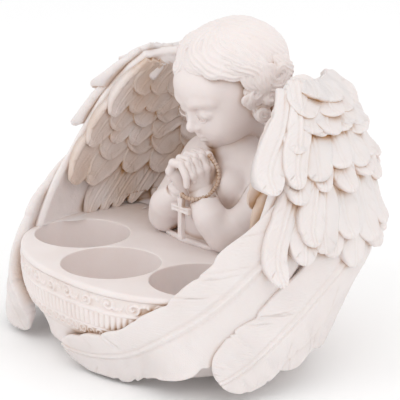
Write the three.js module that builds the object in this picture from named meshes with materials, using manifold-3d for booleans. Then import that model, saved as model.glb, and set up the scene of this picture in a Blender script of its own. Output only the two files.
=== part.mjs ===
// Cast-resin cherub tealight holder: a praying cherub whose two wings wrap round a bowl with three wells.
// Millimetres, +Z up. The cherub looks along -Y, its left side is +X, and the origin is on the table
// under the foot. It is made the way a caster makes it: separate castings bonded with a thin glue line.
import * as THREE from "three";
import { mergeVertices } from "three/addons/utils/BufferGeometryUtils.js";
import Module from "manifold-3d";

const wasm = await Module();
wasm.setup();

// ---- driving dimensions ----
const glueLine = 0.3; // gap left between bonded pieces
const padHeight = 1.5;
const padMargin = 2; // the felt stops short of the foot's edge
const footHalfWidth = 44;
const footHalfDepth = 48;
const footHeight = 6;
const deckHeight = 41; // top of the deck above the table
const wellRadius = 20.5; // a tealight cup is 38 to 39.5 across
const wellDepth = 20;
const wellGap = 1.2; // resin left between two wells
const wellArcDrop = 14.5; // how far the middle well stands in front of the outer two
const outerWellY = -20.6;
const sideWall = 9.9; // from an outer well's side to the shell, with the wing's wall in it
const frontWall = 5.4;
const shellWidestHeight = 45;
const webThickness = 4;
const featherThickness = 2.2;
const covertThickness = 1.7;
const scallopShare = 0.3; // how far the notch between two coverts runs back towards their roots
const headRadius = 23;
const headCentre = new THREE.Vector3(0, 29, 105);
const headPitch = 24; // degrees the head bows
const headTurn = 10; // degrees the head turns to its right
const elbowSpread = 19; // half the distance between the elbows
const armRadius = 8.2;
const wristRadius = 5.4;
const beadRadius = 1.25;
const crossLength = 18;
const crossBar = 11;
const crossThickness = 2.4;

const degrees = Math.PI / 180;

// ---- finishes ----
const resin = (name, colour) =>
  new THREE.MeshStandardMaterial({ name, color: colour, roughness: 0.6, metalness: 0 });
const ivoryResin = resin("ivory_resin", 0xf1ebe6);
const featherResin = resin("feather_resin", 0xf4efe8);
const skinResin = resin("skin_resin", 0xeee6e2);
const felt = resin("felt", 0xd8d2c8);

// ---- general helpers ----
const mix = (a, b, t) => a + (b - a) * t;
const clamp01 = (t) => Math.min(1, Math.max(0, t));
const smooth = (t) => clamp01(t) ** 2 * (3 - 2 * clamp01(t));

function solidOf(geometry) {
  const bare = geometry.index ? geometry.toNonIndexed() : geometry.clone();
  bare.deleteAttribute("normal");
  bare.deleteAttribute("uv");
  const merged = mergeVertices(bare, 1e-4);
  const mesh = new wasm.Mesh({
    numProp: 3,
    vertProperties: merged.attributes.position.array,
    triVerts: new Uint32Array(merged.index.array),
  });
  return new wasm.Manifold(mesh);
}

// Moves each vertex of a three.js geometry by a function of its old place, which bends a plain shape
// into a sculpted one.
function warped(geometry, place) {
  const position = geometry.getAttribute("position");
  const p = new THREE.Vector3();
  for (let i = 0; i < position.count; i++) {
    p.fromBufferAttribute(position, i);
    const q = place(p);
    position.setXYZ(i, q.x, q.y, q.z);
  }
  return geometry;
}

// A mirrored or wrongly wound shape has a negative volume, so its triangles are turned round.
function facingOut(geometry) {
  const solid = solidOf(geometry);
  if (solid.volume() >= 0) return solid;
  const loose = geometry.index ? geometry.toNonIndexed() : geometry;
  const a = loose.getAttribute("position").array;
  for (let i = 0; i < a.length; i += 9)
    for (let k = 0; k < 3; k++) [a[i + 3 + k], a[i + 6 + k]] = [a[i + 6 + k], a[i + 3 + k]];
  return solidOf(loose);
}

function largestBody(solid) {
  const bodies = solid.decompose();
  return bodies.reduce((best, b) => (b.volume() > best.volume() ? b : best), bodies[0]);
}

const joined = (solids) => solids.reduce((all, s) => all.add(s));

function mirrored(solid) {
  return solid.mirror([1, 0, 0]);
}

function boxesTouch(a, b) {
  const p = a.boundingBox();
  const q = b.boundingBox();
  return [0, 1, 2].every((k) => p.min[k] <= q.max[k] && q.min[k] <= p.max[k]);
}

// ---- the shell that the wings and the bowl share, drawn round the three wells ----
const wellPitch = Math.sqrt((2 * wellRadius + wellGap) ** 2 - wellArcDrop ** 2);
const shellHalfWidth = wellPitch + wellRadius + sideWall; // at its widest
// A squared-off egg round the z axis: angle 0 is +X, -90 the front and 90 the back. It closes in above
// its widest level, and below it tapers to the foot, more at the back than at the front and not at all
// under the wing tips.
const shellCrown = 93; // height over which it would close in completely
const shellSquareness = 2.4;
const shellCentreAt = (z) => 10 + 0.13 * (z - 43);
const shellFront = wellArcDrop - outerWellY + wellRadius + frontWall + shellCentreAt(deckHeight);
const frontDepthShare = shellFront / shellHalfWidth; // depth over half width, before and behind the centre
const backDepthShare = 0.86;
const backTaper = 0.5;
const frontTaper = 0.32;

// The front stays steep beside the wells and draws in below them.
function taperAt(angleDeg, rise) {
  const angle = angleDeg > 90 ? 180 - angleDeg : angleDeg < -90 ? -180 - angleDeg : angleDeg;
  const front = frontTaper * (0.4 + 0.6 * smooth((-rise - 14) / 22));
  return backTaper * smooth((angle + 8) / 50) + front * smooth((-38 - angle) / 18);
}

function halfWidthAt(z, angleDeg = 0) {
  const rise = z - shellWidestHeight;
  if (rise <= 0) return shellHalfWidth + rise * taperAt(angleDeg, rise);
  return shellHalfWidth * Math.sqrt(Math.max(0.05, 1 - (rise / shellCrown) ** 2));
}

function squaredRadius(angle, halfWidth) {
  const depthShare = Math.sin(angle) < 0 ? frontDepthShare : backDepthShare;
  const c = Math.abs(Math.cos(angle)) ** shellSquareness;
  const s = Math.abs(Math.sin(angle) / depthShare) ** shellSquareness;
  return halfWidth / (c + s) ** (1 / shellSquareness);
}

function shellPoint(angleDeg, z) {
  const angle = angleDeg * degrees;
  const r = squaredRadius(angle, halfWidthAt(z, angleDeg));
  return new THREE.Vector3(r * Math.cos(angle), shellCentreAt(z) + r * Math.sin(angle), z);
}

function shellNormal(angleDeg, z) {
  const step = 0.5;
  const round = shellPoint(angleDeg + step, z).sub(shellPoint(angleDeg - step, z));
  const up = shellPoint(angleDeg, z + step).sub(shellPoint(angleDeg, z - step));
  return round.cross(up).normalize();
}

const onShell = (angleDeg, z, offset) =>
  shellPoint(angleDeg, z).addScaledVector(shellNormal(angleDeg, z), offset);

const mmPerDegree = (z) => halfWidthAt(z) * degrees;
const mmPerRise = (z) => shellPoint(0, z + 0.5).distanceTo(shellPoint(0, z - 0.5));

// ---- a long feather laid on the shell ----
// path is [[angle, z, lift off the shell], ...] from root to tip, and tilt lifts one side of the vane
// over the next.
function featherWidth(t) {
  const growing = mix(0.5, 1, smooth(t / 0.45));
  const closing = Math.sqrt(Math.max(0, 1 - (Math.max(0, t - 0.72) / 0.28) ** 2));
  return growing * Math.max(0.24, closing);
}

function featherSolid(spec, grow = 0, across = 3, along = 8) {
  const path = new THREE.CatmullRomCurve3(spec.path.map((p) => new THREE.Vector3(...p)));
  const box = new THREE.BoxGeometry(2, 1, 1, across, along, 1);
  const place = (p) => {
    const t = 0.5 - p.y;
    const side = p.x;
    const at = path.getPoint(t);
    const ahead = path.getTangent(t);
    const sx = mmPerDegree(at.y);
    const sz = mmPerRise(at.y);
    const length = Math.hypot(ahead.x * sx, ahead.y * sz);
    const half = spec.halfWidth * featherWidth(t) + grow;
    const overshoot = grow * (t < 0.01 ? -1 : t > 0.99 ? 1 : 0);
    const alongX = (ahead.x * sx) / length;
    const alongZ = (ahead.y * sz) / length;
    const angle = at.x + (alongX * overshoot + alongZ * side * half) / sx;
    const z = at.y + (alongZ * overshoot - alongX * side * half) / sz;
    const lift = at.z + spec.tilt * side;
    const crown = featherThickness * (1 - 0.45 * side * side);
    return onShell(angle, z, p.z > 0 ? lift + crown + grow : lift - grow);
  };
  return facingOut(warped(box, place));
}

// ---- a row of overlapping coverts, as one scalloped sheet ----
// roots and tips are arcs of angle, rootZ and tipZ their heights from one end of the row to the other.
function rowSolid(row, inner) {
  return (grow) => {
    const columns = row.count * 3;
    const box = new THREE.BoxGeometry(1, 1, 1, columns, row.steps, 1);
    const place = (p) => {
      const u = p.x + 0.5;
      const t = 0.5 - p.y;
      const across = (u * row.count) % 1;
      const side = u > 0.999 ? 1 : Math.abs(2 * across - 1);
      const stagger = Math.floor(u * row.count - 1e-6) % 2 ? row.stagger : 0;
      const reach = t * (1 - scallopShare * side ** 2 - (side < 0.9 ? stagger : 0));
      const end = grow / (halfWidthAt(80) * degrees);
      const edge = p.x < -0.499 ? -end : p.x > 0.499 ? end : 0;
      const angle = mix(mix(...row.roots, u), mix(...row.tips, u), reach) + edge;
      const heightGrow = t < 0.01 ? grow : t > 0.99 ? -grow : 0;
      const z = mix(mix(...row.rootZ, u), mix(...row.tipZ, u), reach) + heightGrow;
      const lift = mix(row.rootLift, row.tipLift, reach ** row.rise) + (inner ? webDepth(angle, z) : 0);
      const crown = covertThickness * (1 - 0.35 * side);
      const height = p.z > 0 ? lift + crown + grow : lift - grow;
      return onShell(angle, z, inner ? -height : height);
    };
    return facingOut(warped(box, place));
  };
}

// ---- pieces are placed one after another, and each is cut clear of those before it ----
const placed = []; // {name, solid, clear} where clear is the same piece grown by the glue line
const group = new THREE.Group();
group.name = "cherub_tealight_holder";

function place(name, material, make) {
  let solid = make(0);
  for (const other of placed) if (boxesTouch(solid, other.clear)) solid = solid.subtract(other.clear);
  solid = largestBody(solid).simplify(0.01); // slivers left by the cuts go
  placed.push({ name, solid, clear: make(glueLine) });
  const cut = solid.getMesh();
  const geometry = new THREE.BufferGeometry();
  geometry.setAttribute("position", new THREE.BufferAttribute(cut.vertProperties, 3));
  geometry.setIndex(new THREE.BufferAttribute(cut.triVerts, 1));
  const mesh = new THREE.Mesh(geometry, material);
  mesh.name = name;
  group.add(mesh);
}

function placePair(part, material, make) {
  place("left_" + part, material, make);
  place("right_" + part, material, (grow) => mirrored(make(grow)));
}

// ---- bowl ----
const wellCentres = [
  [-wellPitch, outerWellY],
  [0, outerWellY - wellArcDrop],
  [wellPitch, outerWellY],
];
const bowlInset = 1.2; // the bowl's wall inside the shell
const bowlUnderside = padHeight + footHeight * 0.6;
const bowlTuck = 11; // how far the bowl's sides draw in at the foot, behind the wing feathers

function tuckAt(angleDeg, z) {
  const angle = angleDeg > 90 ? 180 - angleDeg : angleDeg < -90 ? -180 - angleDeg : angleDeg;
  const underWing = smooth((angle + 66) / 16) * (1 - smooth((angle + 5) / 30));
  return bowlTuck * underWing * smooth((21 - z) / 18);
}

function bowlWall(angleDeg, z, outward) {
  const p = shellPoint(angleDeg, z);
  const out = new THREE.Vector3(Math.cos(angleDeg * degrees), Math.sin(angleDeg * degrees), 0);
  return p.addScaledVector(out, outward - bowlInset - tuckAt(angleDeg, z));
}

// The bowl's outer form between two heights, as a disc-shaped blank drawn out to the wall.
function bowlForm(low, high, outward, rings) {
  const blank = new THREE.CylinderGeometry(1, 1, 1, 44, rings).rotateX(Math.PI / 2);
  return facingOut(
    warped(blank, (p) => {
      const z = mix(low, high, p.z + 0.5);
      if (Math.hypot(p.x, p.y) < 0.5) return new THREE.Vector3(0, shellCentreAt(z), z);
      return bowlWall(Math.atan2(p.y, p.x) / degrees, z, outward);
    }),
  );
}

function bowlSolid(grow) {
  const body = bowlForm(bowlUnderside - grow, deckHeight + grow, grow, 5);
  const foot = new THREE.CylinderGeometry(1, 0.97, footHeight + 2 * grow, 44).rotateX(Math.PI / 2);
  foot.scale(footHalfWidth + grow, footHalfDepth + grow, 1);
  foot.translate(0, 0, padHeight + footHeight / 2);
  let solid = body.add(facingOut(foot));
  if (grow > 0) return solid;
  for (const [x, y] of wellCentres) {
    const well = new THREE.CylinderGeometry(wellRadius, wellRadius, wellDepth + 4, 30).rotateX(Math.PI / 2);
    solid = solid.subtract(facingOut(well.translate(x, y, deckHeight - wellDepth / 2 + 2)));
  }
  return solid;
}

function feltSolid(grow) {
  const sheet = new THREE.CylinderGeometry(1, 1, padHeight - glueLine + 2 * grow, 32).rotateX(Math.PI / 2);
  sheet.scale(footHalfWidth - padMargin + grow, footHalfDepth - padMargin + grow, 1);
  return facingOut(sheet.translate(0, 0, (padHeight - glueLine) / 2));
}

// The carved band across the bowl's front, between the tips of the two wings.
const bandHalfAngle = 40;
const bandLow = 14;
const bandHigh = 38;
const bandThickness = 1.2;
function bandSolid(grow) {
  const outer = bowlForm(bandLow - grow, bandHigh + grow, glueLine + bandThickness + grow, 4);
  const inner = bowlForm(bandLow - 2, bandHigh + 2, glueLine - grow, 4);
  const reach = 90;
  const halfSpread = reach * Math.tan(bandHalfAngle * degrees) + grow;
  const wedge = new THREE.Shape([
    new THREE.Vector2(0, shellCentreAt(deckHeight)),
    new THREE.Vector2(-halfSpread, shellCentreAt(deckHeight) - reach),
    new THREE.Vector2(halfSpread, shellCentreAt(deckHeight) - reach),
  ]);
  const sector = new THREE.ExtrudeGeometry(wedge, { depth: deckHeight, bevelEnabled: false });
  return outer.subtract(inner).intersect(facingOut(sector));
}

// ---- figure ----
// A limb is a tube of changing radius along a curve, with rounded ends.
function limb(points, radii, grow, sides = 12, steps = 10, flatten = 1) {
  const curve = new THREE.CatmullRomCurve3(points.map((p) => new THREE.Vector3(...p)));
  const blank = new THREE.CylinderGeometry(1, 1, 1, sides, steps).rotateX(Math.PI / 2);
  const radiusAt = (t) => {
    const s = t * (radii.length - 1);
    const i = Math.min(radii.length - 2, Math.floor(s));
    return mix(radii[i], radii[i + 1], smooth(s - i));
  };
  const side = new THREE.Vector3(1, 0, 0);
  return facingOut(
    warped(blank, (p) => {
      const t = clamp01(p.z + 0.5);
      const centre = curve.getPoint(t);
      const ahead = curve.getTangent(t);
      const across = side.clone().addScaledVector(ahead, -ahead.dot(side)).normalize();
      const other = ahead.clone().cross(across);
      const end = t < 0.001 ? -grow : t > 0.999 ? grow : 0;
      const radius = Math.hypot(p.x, p.y) < 0.5 ? 0 : radiusAt(t) + grow;
      const angle = Math.atan2(p.y, p.x);
      return centre
        .addScaledVector(across, radius * Math.cos(angle))
        .addScaledVector(other, radius * flatten * Math.sin(angle))
        .addScaledVector(ahead, end);
    }),
  );
}

function ball(centre, radii, grow, detail = [16, 10]) {
  const g = new THREE.SphereGeometry(1, ...detail);
  g.scale(radii[0] + grow, radii[1] + grow, radii[2] + grow);
  return facingOut(g.translate(...centre));
}

const seat = deckHeight + glueLine;
const handHeight = 70.5; // middle of the clasped palms

function torsoSolid(grow) {
  // chest and back, from the deck up to the collar; the deck cuts its foot flat
  const trunk = limb(
    [[0, 27, seat], [0, 29, 52], [0, 33, 64], [0, 36, 72], [0, 33, 79], [0, 29, 84]],
    [19, 19.5, 21.5, 20.5, 12, 8.6],
    grow, 14, 6, 0.72,
  );
  const shoulder = (s) => ball([s * 20, 34, 69], [9.5, 9.5, 9], grow, [12, 8]);
  return joined([trunk, shoulder(1), shoulder(-1)]);
}

function drapeSolid(grow) {
  const blank = new THREE.CylinderGeometry(0.9, 1, 3.4 + 2 * grow, 24).rotateX(Math.PI / 2);
  blank.scale(27 + grow, 21 + grow, 1);
  return facingOut(blank.translate(0, 25, seat + 1.7));
}

function armSolid(grow) {
  const elbow = [elbowSpread, 8, seat + armRadius - 1];
  const upper = limb([[22, 33, 69], [25, 24, 58], elbow], [8.6, 8.8, armRadius], grow, 9, 3);
  const fore = limb([elbow, [13, 6, 57], [5.5, 8.5, handHeight - 6]], [armRadius - 0.6, 7.2, wristRadius], grow, 9, 3);
  return joined([upper, fore, ball(elbow, [armRadius, armRadius, armRadius], grow, [9, 6])]);
}

function handSolid(grow) {
  // palm with four fingers folded over the other hand
  const palmCurve = [[3.4, 9, handHeight - 7.5], [4.2, 8, handHeight - 1], [3.6, 6, handHeight + 5]];
  const palm = limb(palmCurve, [4.6, 5.6, 4.2], grow, 8, 4, 1.5);
  const fingers = [0, 1, 2, 3].map((i) => {
    const y = 13.5 - 3.9 * i;
    const top = handHeight + 9 - 0.8 * i;
    return limb([[5.2, y, handHeight], [5, y - 1.4, top - 3], [2.6, y - 2, top]], [2.1, 2, 1.7], grow, 6, 3);
  });
  const half = new THREE.BoxGeometry(30, 60, 60).translate(15 + glueLine / 2, 8, handHeight);
  return joined([palm, ...fingers]).intersect(facingOut(half));
}

// The head is modelled upright at its own centre and then bowed and turned.
const headPose = new THREE.Matrix4()
  .makeTranslation(headCentre.x, headCentre.y, headCentre.z)
  .multiply(new THREE.Matrix4().makeRotationZ(-headTurn * degrees))
  .multiply(new THREE.Matrix4().makeRotationX(headPitch * degrees));
const posed = (solid) => solid.transform(headPose.elements);

// Sizes on the head are in units of its radius.
const onHead = (...shares) => shares.map((share) => share * headRadius);
const headBall = (centre, radii, grow, detail) => ball(onHead(...centre), onHead(...radii), grow, detail);

function faceSolid(grow) {
  const skull = headBall([0, 0, 0.13], [0.88, 0.98, 0.98], grow, [16, 10]);
  const cheeks = headBall([0, -0.39, -0.39], [0.7, 0.59, 0.61], grow, [12, 8]);
  const chin = headBall([0, -0.63, -0.8], [0.28, 0.26, 0.22], grow, [8, 6]);
  const nose = limb([onHead(0, -0.91, 0), onHead(0, -1.06, -0.33)], onHead(0.07, 0.12), grow, 8, 2);
  const lips = headBall([0, -0.96, -0.55], [0.2, 0.09, 0.1], grow, [8, 5]);
  return posed(joined([skull, cheeks, chin, nose, lips]));
}

function hairSolid(grow) {
  const cap = headBall([0, 0.15, 0.3], [1.07, 1.1, 1], grow, [18, 11]);
  const faceOpening = headBall([0, -1.04, -0.43], [0.74, 0.7, 1.09], -grow, [12, 8]);
  const nape = new THREE.BoxGeometry(80, 80, 40).translate(0, 0, -20 - grow - 0.48 * headRadius);
  const fringe = headBall([0.22, -0.78, 0.74], [0.48, 0.26, 0.26], grow, [10, 6]);
  return posed(joined([cap, fringe]).subtract(faceOpening).subtract(facingOut(nape)));
}

// Curls over an ear: a cluster of ringlets down to the jaw, each [x, y, z, radius].
const ringlets = [
  [0.85, -0.48, 0.52, 0.24], [0.98, -0.22, 0.26, 0.26], [1, 0.09, 0, 0.28], [0.96, -0.15, -0.26, 0.25],
  [0.87, 0.35, -0.26, 0.3], [0.83, 0.09, -0.52, 0.27], [0.61, 0.57, -0.52, 0.28],
];
function curlsSolid(grow) {
  return posed(joined(ringlets.map(([x, y, z, r]) => headBall([x, y, z], [r, r, r], grow, [7, 5]))));
}

// ---- rosary ----
const beadCount = 16;
const rosaryLoop = new THREE.CatmullRomCurve3(
  [
    [7, 13.9, 82], [11.9, 17.5, 76.7], [14.1, 17.9, 70.4], [16, 13.8, 66.2],
    [16.5, 7, 64.6], [13.2, -1, 64.4], [8, -2.1, 64.5], [4, -1.3, 64.6],
  ].map((p) => new THREE.Vector3(...p)),
);
function rosarySolid(grow) {
  const points = rosaryLoop.getPoints(24).map((p) => p.toArray());
  const cord = limb(points, [0.6, 0.6], grow, 4, 16);
  const beads = [];
  for (let i = 0; i < beadCount; i++) {
    const bead = new THREE.OctahedronGeometry(beadRadius + grow, 0);
    beads.push(facingOut(bead.translate(...rosaryLoop.getPointAt((i + 0.5) / beadCount).toArray())));
  }
  return joined([cord, ...beads]);
}

function crossSolid(grow) {
  const g = 2 * grow;
  const upright = new THREE.BoxGeometry(crossThickness + g, crossThickness + g, crossLength + g);
  const arm = new THREE.BoxGeometry(crossBar + g, crossThickness + g, crossThickness + g);
  arm.translate(0, 0, crossLength * 0.22);
  const solid = facingOut(upright).add(facingOut(arm));
  return solid.translate([3, -0.6, 62.8 - crossLength / 2]);
}

// ---- wings ----
// the wing's two edges as [z, angle]
const frontEdge = [[41, -35], [54, -29], [62, -25], [70, -21], [82, -17], [95, -14], [109, -8], [117, -1]];
const backEdge = [[41, 89.6], [56, 89.5], [62, 86], [72, 74], [85, 64], [100, 52], [117, 22]];
function edgeAt(edge, z) {
  const above = edge.findIndex(([height]) => height >= z);
  if (above <= 0) return above === 0 ? edge[0][1] : edge[edge.length - 1][1];
  const [z0, a0] = edge[above - 1];
  const [z1, a1] = edge[above];
  return mix(a0, a1, (z - z0) / (z1 - z0));
}
const webTop = 115;
const rootPad = 9; // extra thickness of the web where it meets the cherub's back

// How far the web's inner face lies inside the shell: it thickens to a root at the cherub's back.
function webDepth(angleDeg, z) {
  return webThickness + rootPad * smooth((angleDeg - 42) / 40) * (1 - smooth((z - 50) / 45));
}

function webSolid(grow) {
  const blank = new THREE.BoxGeometry(1, 1, 1, 10, 8, 1);
  const sheet = warped(blank, (p) => {
    const z = mix(seat - grow, webTop + grow, p.y + 0.5);
    const angle = mix(edgeAt(frontEdge, z) - grow, edgeAt(backEdge, z) + grow, p.x + 0.5);
    return onShell(angle, z, p.z > 0 ? grow : -webDepth(angle, z) - grow);
  });
  const knob = limb([[38, 17, 107], [36.5, 26, 114.5], [35, 37, 108]], [6.2, 7.2, 6], grow, 10, 4);
  return facingOut(sheet).add(knob);
}

// The long flight feathers, front to back. On the left the foremost wraps round the bowl's front to its
// foot, and on the right it hangs clear of the bowl.
const leadFeather = {
  left: [[10, 78, 0.4], [-17, 56, 0.6], [-38, 35, 0.8], [-60, 20, 0.8], [-78, 15, 0.8], [-92, 13, 0.6]],
  right: [[10, 78, 0.4], [-17, 56, 0.8], [-33, 34, 2.4], [-46, 13, 4.6], [-50, 3.5, 5]],
};
const leadHalfWidth = 13.5;
const flightFeathers = [
  { path: [[36, 72, 3], [8, 44, 3.2], [-17, 22, 3.6], [-31, 9, 4]], halfWidth: 10 },
  { path: [[50, 72, 1.4], [25, 48, 1.6], [2, 27, 1.8], [-13, 12, 2]], halfWidth: 8 },
  { path: [[61, 72, 1.4], [39, 50, 1.6], [17, 31, 1.8], [2, 16, 2]], halfWidth: 7.5 },
  { path: [[70, 71, 1.4], [52, 53, 1.6], [33, 36, 1.8], [18, 21, 2]], halfWidth: 7.5 },
  { path: [[79, 69, 1.4], [65, 55, 1.6], [49, 40, 1.8], [36, 26, 2]], halfWidth: 7.5 },
  { path: [[84, 62, 1.4], [76, 52, 1.6], [65, 42, 1.8], [56, 31, 2]], halfWidth: 7 },
];
const flightTilt = -1.1;

// Rows of coverts on the wing's back, which hang from the wrist, and rows on its inner face.
const outerRows = [
  {
    part: "lower_coverts", count: 6, steps: 3, stagger: 0.12,
    roots: [-9, 66], tips: [-15, 78], rootZ: [88, 82], tipZ: [44, 48],
    rootLift: 0.4, tipLift: 9.4, rise: 0.8,
  },
  {
    part: "middle_coverts", count: 6, steps: 2, stagger: 0.1,
    roots: [-7, 56], tips: [-17, 70], rootZ: [105, 97], tipZ: [76, 74],
    rootLift: 0.4, tipLift: 7, rise: 1.2,
  },
  {
    part: "upper_coverts", count: 5, steps: 2, stagger: 0.1,
    roots: [-2, 44], tips: [-19, 60], rootZ: [114, 108], tipZ: [93, 90],
    rootLift: 0.4, tipLift: 5, rise: 1.2,
  },
  {
    part: "wrist_coverts", count: 4, steps: 2, stagger: 0.08,
    roots: [4, 30], tips: [-10, 50], rootZ: [119.5, 118.5], tipZ: [109, 105],
    rootLift: 1, tipLift: 4.4, rise: 1.1,
  },
];
const innerRows = [
  {
    part: "inner_long_coverts", count: 6, steps: 2, stagger: 0,
    roots: [8, 58], tips: [-12, 48], rootZ: [68, 66], tipZ: [42.5, 42.5],
    rootLift: 0.9, tipLift: 2.2, rise: 1.2,
  },
  {
    part: "inner_lower_coverts", count: 6, steps: 2, stagger: 0.06,
    roots: [-9, 58], tips: [-28, 40], rootZ: [86, 80], tipZ: [62, 58],
    rootLift: 0.9, tipLift: 3.6, rise: 1,
  },
  {
    part: "inner_middle_coverts", count: 5, steps: 2, stagger: 0.06,
    roots: [-7, 52], tips: [-23, 36], rootZ: [101, 95], tipZ: [79, 74],
    rootLift: 0.9, tipLift: 3.6, rise: 1,
  },
  {
    part: "inner_upper_coverts", count: 4, steps: 2, stagger: 0.06,
    roots: [-3, 40], tips: [-17, 26], rootZ: [114, 108], tipZ: [95, 90],
    rootLift: 0.9, tipLift: 3.6, rise: 1,
  },
];

// ---- assembly, in the order that one piece beds on another ----
place("bowl", ivoryResin, bowlSolid);
place("felt_base", felt, feltSolid);
place("carved_band", ivoryResin, bandSolid);
place("torso", skinResin, torsoSolid);
place("waist_drape", ivoryResin, drapeSolid);
place("head", skinResin, faceSolid);
place("hair", ivoryResin, hairSolid);
placePair("curls", ivoryResin, curlsSolid);
placePair("hand", skinResin, handSolid);
placePair("arm", skinResin, armSolid);
place("cross", ivoryResin, crossSolid);
place("rosary", ivoryResin, rosarySolid);
placePair("wing_web", featherResin, webSolid);
const leadSolid = (path) => (grow) => featherSolid({ path, halfWidth: leadHalfWidth, tilt: 0 }, grow);
place("left_flight_feather_1", featherResin, leadSolid(leadFeather.left));
place("right_flight_feather_1", featherResin, (grow) => mirrored(leadSolid(leadFeather.right)(grow)));
flightFeathers.forEach((feather, i) => {
  const tilted = { ...feather, tilt: flightTilt };
  placePair("flight_feather_" + (i + 2), featherResin, (grow) => featherSolid(tilted, grow));
});
for (const row of outerRows) placePair(row.part, featherResin, rowSolid(row, false));
for (const row of innerRows) placePair(row.part, featherResin, rowSolid(row, true));

export default group;
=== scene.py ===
# Cherub tealight holder, cast in resin and washed with a warm stain. Metres, +Z up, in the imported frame.
import math
import bmesh
import bpy
import numpy as np
import openvdb
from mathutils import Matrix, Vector


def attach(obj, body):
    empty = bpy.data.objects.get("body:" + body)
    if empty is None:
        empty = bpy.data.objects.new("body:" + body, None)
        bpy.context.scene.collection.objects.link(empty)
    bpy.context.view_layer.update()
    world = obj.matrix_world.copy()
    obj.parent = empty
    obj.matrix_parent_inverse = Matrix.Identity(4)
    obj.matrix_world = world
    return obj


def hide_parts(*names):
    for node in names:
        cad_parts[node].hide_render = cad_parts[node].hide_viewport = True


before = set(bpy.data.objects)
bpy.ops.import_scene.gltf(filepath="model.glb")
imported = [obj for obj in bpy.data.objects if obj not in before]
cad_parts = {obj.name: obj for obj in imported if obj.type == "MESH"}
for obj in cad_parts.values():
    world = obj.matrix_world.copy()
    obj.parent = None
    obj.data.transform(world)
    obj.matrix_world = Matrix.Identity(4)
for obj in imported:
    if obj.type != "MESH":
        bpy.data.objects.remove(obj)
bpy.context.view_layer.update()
millimetre = 0.001  # shapes are worked out in millimetres, as the casting is, and scaled when a mesh is made


# ---- small helpers ----
def mix(a, b, t):
    return a + (b - a) * t


def smooth(t):
    t = np.clip(t, 0, 1)
    return t * t * (3 - 2 * t)


def bump(x):
    return np.exp(-x * x)


def curveThrough(points, t):
    # a centripetal Catmull-Rom curve, t from 0 to 1
    points = np.asarray(points, float)
    ghost = np.vstack([2 * points[0] - points[1], points, 2 * points[-1] - points[-2]])
    along = np.clip(np.atleast_1d(t), 0, 1) * (len(points) - 1)
    i = np.minimum(along.astype(int), len(points) - 2)
    w = (along - i)[:, None]
    p0, p1, p2, p3 = (ghost[i + k] for k in range(4))
    d0, d1, d2 = (np.linalg.norm(b - a, axis=1)[:, None] ** 0.5 for a, b in ((p0, p1), (p1, p2), (p2, p3)))
    t1 = ((p1 - p0) / d0 - (p2 - p0) / (d0 + d1) + (p2 - p1) / d1) * d1
    t2 = ((p2 - p1) / d1 - (p3 - p1) / (d1 + d2) + (p3 - p2) / d2) * d1
    return p1 + t1 * w + (3 * (p2 - p1) - 2 * t1 - t2) * w**2 + (2 * (p1 - p2) + t1 + t2) * w**3


def spread(values, t):
    # a list of values read at t from 0 to 1
    return np.interp(t, np.linspace(0, 1, len(values)), values)


def unit(v):
    return v / np.linalg.norm(v, axis=-1, keepdims=True)


def cellCorners(f):
    # the eight corners of a cell, each with its weight at the place f inside the cell
    for corner in range(8):
        step = np.array([corner & 1, corner >> 1 & 1, corner >> 2 & 1])
        yield step, np.prod(np.where(step == 1, f, 1 - f), axis=-1)


def softNoise(points, size, seed):
    # smooth noise from -1 to 1 with features about size millimetres across
    # the value at each corner of a cell is a hash of its place
    p = np.asarray(points, float) / size + seed * 17.31
    cell = np.floor(p).astype(np.int64)
    f = smooth(p - cell)
    total = np.zeros(p.shape[:-1])
    for step, weight in cellCorners(f):
        c = cell + step
        h = (c[..., 0] * 73856093) ^ (c[..., 1] * 19349663) ^ (c[..., 2] * 83492791) ^ (seed * 2654435761)
        h = (h ^ (h >> 13)) * 1274126177
        value = ((h ^ (h >> 16)) & 65535) / 32767.5 - 1
        total += value * weight
    return total


# ---- lumps: points with quads, triangles, a uv and a depth of stain wash and painted shade for each point ----
def lump(points, quads, tris=None, uv=None, stain=None):
    n = len(points)
    return {
        "points": np.asarray(points, float),
        "quads": np.asarray(quads, int).reshape(-1, 4),
        "tris": np.zeros((0, 3), int) if tris is None else np.asarray(tris, int).reshape(-1, 3),
        "uv": np.zeros((n, 2)) if uv is None else np.asarray(uv, float),
        "stain": np.zeros(n) if stain is None else np.asarray(stain, float),
    }


def gather(lumps):
    starts = np.cumsum([0] + [len(one["points"]) for one in lumps])
    return lump(
        np.vstack([one["points"] for one in lumps]),
        np.vstack([one["quads"] + s for one, s in zip(lumps, starts)]),
        np.vstack([one["tris"] + s for one, s in zip(lumps, starts)]),
        np.vstack([one["uv"] for one in lumps]),
        np.concatenate([one["stain"] for one in lumps]),
    )


def facingOut(one):
    p = one["points"]
    q = one["quads"]
    t = np.vstack([q[:, [0, 1, 2]], q[:, [0, 2, 3]], one["tris"]])
    a, b, c = p[t[:, 0]], p[t[:, 1]], p[t[:, 2]]
    if np.einsum("ij,ij->i", a, np.cross(b, c)).sum() < 0:
        one["quads"] = one["quads"][:, ::-1]
        one["tris"] = one["tris"][:, ::-1]
    return one


def mirrored(one):
    # the right side of the object from its left
    return facingOut(dict(one, points=one["points"] * [-1, 1, 1]))


def sided(one, side):
    return one if side == "left" else mirrored(one)


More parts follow.
